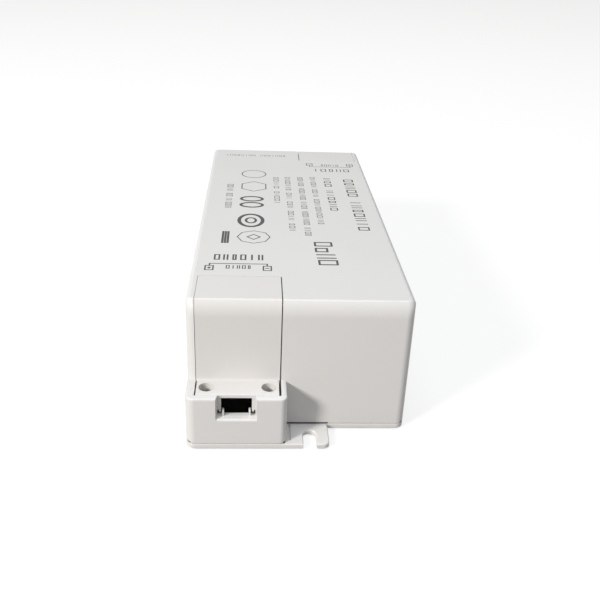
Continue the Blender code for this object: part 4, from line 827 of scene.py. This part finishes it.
def end_marks(name, line, count, tall):
    """Marks over one pair of wires: a line of print, a bracket, and a box with a sign over each wire."""
    drop = BRACKET_Y - SIGN_Y - BOX_LONG / 2
    centre = (PLUS_X + MINUS_X) / 2
    marks = [bar(centre, BRACKET_Y, MINUS_X - PLUS_X + line, line)]
    marks += written(centre - TITLE_LONG / 2, TITLE_Y, (count,), TITLE_LONG / count, tall,
                     TITLE_WEIGHT * line, across=True)
    marks += written(centre - NOTE_HALF, NOTE_Y, (NOTE_SHAPES,), NOTE_CELL, NOTE_TALL,
                     NOTE_WEIGHT * line, across=True, first=NOTE_FIRST)
    for x in (PLUS_X, MINUS_X):
        marks.append(hollow(bar(x, SIGN_Y, BOX_WIDE, BOX_LONG), line))
        marks.append(bar(x, BRACKET_Y - drop / 2, line, drop))
        marks.append(bar(x, SIGN_Y, SIGN_SIZE, line))
    marks.append(bar(PLUS_X, SIGN_Y, line, SIGN_SIZE))
    return printed(name, marks)


ink_finish = ink("screen_ink_grey")
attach(end_marks("output_marks", line=0.4 * MM, count=6, tall=3.9 * MM), "root")
input_marks = end_marks("input_marks", line=0.28 * MM, count=5, tall=3.2 * MM)
select_only(input_marks)
bpy.ops.transform.rotate(value=math.pi, orient_axis="Z", center_override=(0, 0, 0))
settled()
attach(input_marks, "root")

# Lines of print, in millimetres: X and Y of the start, shapes in each word, cell, height, line width,
# whether it runs across, and the first shape.
ROWS = (
    (22.3, -21.0, (7, 5), 4.1, 3.7, 0.50, False, 3),
    (14.3, -3.0, (6, 3), 3.65, 2.6, 0.40, False, 0),
    (8.9, -16.0, (12, 4, 6), 2.09, 1.9, 0.24, False, 7),
    (4.2, -26.0, (4, 7, 4, 7, 6), 1.87, 2.0, 0.24, False, 2),
    (-0.6, -22.0, (3, 4, 3, 3, 7), 2.32, 1.9, 0.24, False, 5),
    (-4.9, 3.0, (5, 5), 2.76, 1.9, 0.24, False, 9),
    (-21.6, -2.0, (5, 2, 4), 1.98, 2.2, 0.26, False, 1),
    (-25.0, 61.8, (8, 7), 1.55, 1.6, 0.18, True, 4),
)
rows = []
for x, y, words, cell, tall, line, across, first in ROWS:
    rows += written(*metres(x, y), words, *metres(cell, tall, line), across, first)
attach(printed("rating_rows", rows), "root")

# Larger marks, in millimetres: X and Y of the middle, width and length.
HEAVY_LINE = 0.65 * MM
HEAVY_FRAMES = ((8.2, -32.4, 5.6, 3.4), (7.4, -36.9, 4.0, 3.2), (8.7, -46.0, 5.8, 3.6))
HEAVY_BARS = ((8.4, -40.4, 5.7, 0.65), (8.5, -42.8, 5.7, 0.65),
              (-22.2, -27.8, 0.68, 9.6), (-21.4, -27.8, 0.68, 9.6), (-20.6, -27.8, 0.68, 9.6))
heavy = [hollow(bar(*metres(*sizes)), HEAVY_LINE) for sizes in HEAVY_FRAMES]
heavy += [bar(*metres(*sizes)) for sizes in HEAVY_BARS]
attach(printed("heavy_marks", heavy), "root")

# Plain outlines, in millimetres: X and Y of the middle, width, length, line width, and how many corners.
OUTLINES = (
    (-13.2, 36.4, 9.4, 9.4, 0.36, 40),
    (-13.1, 21.5, 10.4, 11.4, 0.36, 6),
    (-13.7, 1.6, 8.4, 5.6, 1.0, 40),
    (-13.7, 7.8, 8.4, 5.6, 1.0, 40),
    (-13.8, -13.2, 8.8, 12.2, 1.2, 40),
    (-13.8, -13.2, 4.0, 5.4, 0.8, 40),
    (-12.8, -27.4, 10.4, 10.4, 0.32, 8),
    (-12.8, -27.4, 4.6, 4.6, 0.4, 4),
)
outlines = [outline(*metres(*sizes), corners) for *sizes, corners in OUTLINES]
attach(printed("plain_outlines", outlines), "root")

# Floor
# A pale floor that shows white to the camera and in gloss, and still darkens where the driver shades it.

FLOOR_WIDE = 6.0
FLOOR_DROP = 0.02 * MM
FLOOR_GREY = (0.30, 0.30, 0.30, 1)
FLOOR_GLOW = 0.75
BLACK = (0, 0, 0, 1)
WHITE = (1, 1, 1, 1)

bpy.ops.object.select_all(action="DESELECT")
bpy.ops.mesh.primitive_plane_add(size=FLOOR_WIDE, location=(0, 0, -FLOOR_DROP))
floor = bpy.context.object
floor.name = "floor"
paper, shader, place = new_finish("floor_paper")
rays = place.tree.nodes.new("ShaderNodeLightPath")
to_camera, in_gloss, through_glass = (
    Socket(place.tree, rays.outputs[f"Is {kind} Ray"]) for kind in ("Camera", "Glossy", "Transmission"))
feed(shader, {
    "Base Color": FLOOR_GREY,
    "Roughness": 1.0,
    "Specular IOR Level": 0.0,
    "Emission Color": mixed(to_camera + in_gloss + through_glass, BLACK, WHITE),
    "Emission Strength": FLOOR_GLOW,
})
wear(floor, paper)

# Light
# A warm lamp on the left in front, low and small enough to throw the foot's shadow on the case, a wide cool
# one overhead, and pale surroundings that fill the rest.

KEY_DIRECTION = (-10.9, -9.8, 7.7)
KEY_DISTANCE = 1.3
KEY_SIZE = 0.25
KEY_POWER = 13.3
KEY_COLOUR = (1.0, 0.955, 0.92)
OVERHEAD_HEIGHT = 1.2
OVERHEAD_SIZE = 0.9
OVERHEAD_POWER = 6.7
OVERHEAD_COLOUR = (0.87, 0.94, 1.0)
SKY = 0.30
SKY_COLOUR = (1.0, 0.95, 0.90, 1)


def lamp(name, direction, distance, size, power, colour):
    """A round lamp that far from the object in a direction, turned towards it."""
    data = bpy.data.lights.new(name, "AREA")
    data.shape = "DISK"
    data.size = size
    data.energy = power
    data.color = colour
    made = bpy.data.objects.new(name, data)
    towards = Vector(direction).normalized()
    made.location = towards * distance
    made.rotation_euler = towards.to_track_quat("Z", "Y").to_euler()
    bpy.context.scene.collection.objects.link(made)


lamp("key_lamp", KEY_DIRECTION, KEY_DISTANCE, KEY_SIZE, KEY_POWER, KEY_COLOUR)
lamp("overhead_lamp", (0, 0, 1), OVERHEAD_HEIGHT, OVERHEAD_SIZE, OVERHEAD_POWER, OVERHEAD_COLOUR)

world = bpy.data.worlds.new("white_surroundings")
world.use_nodes = True
bpy.context.scene.world = world
background = world.node_tree.nodes["Background"]
world_rays = world.node_tree.nodes.new("ShaderNodeLightPath")
camera_ray = Socket(world.node_tree, world_rays.outputs["Is Camera Ray"])
feed(background, {
    "Color": mixed(camera_ray, SKY_COLOUR, WHITE),
    "Strength": SKY + (1 - SKY) * camera_ray,
})

# Camera
# Above the output end and a little to the left, looking along the driver as the photograph does.

CAMERA_LENS, CAMERA_SENSOR = 44.884, 36.0
CAMERA_PLACE = (-0.01186, -0.24103, 0.12657)
CAMERA_TURN = (1.10305, -0.03744, -0.04698)

camera_data = bpy.data.cameras.new("camera")
camera_data.lens = CAMERA_LENS
camera_data.sensor_width = CAMERA_SENSOR
camera = bpy.data.objects.new("camera", camera_data)
camera.location = CAMERA_PLACE
camera.rotation_euler = CAMERA_TURN
bpy.context.scene.collection.objects.link(camera)
bpy.context.scene.camera = camera

view = bpy.context.scene.view_settings
view.view_transform = "Standard"
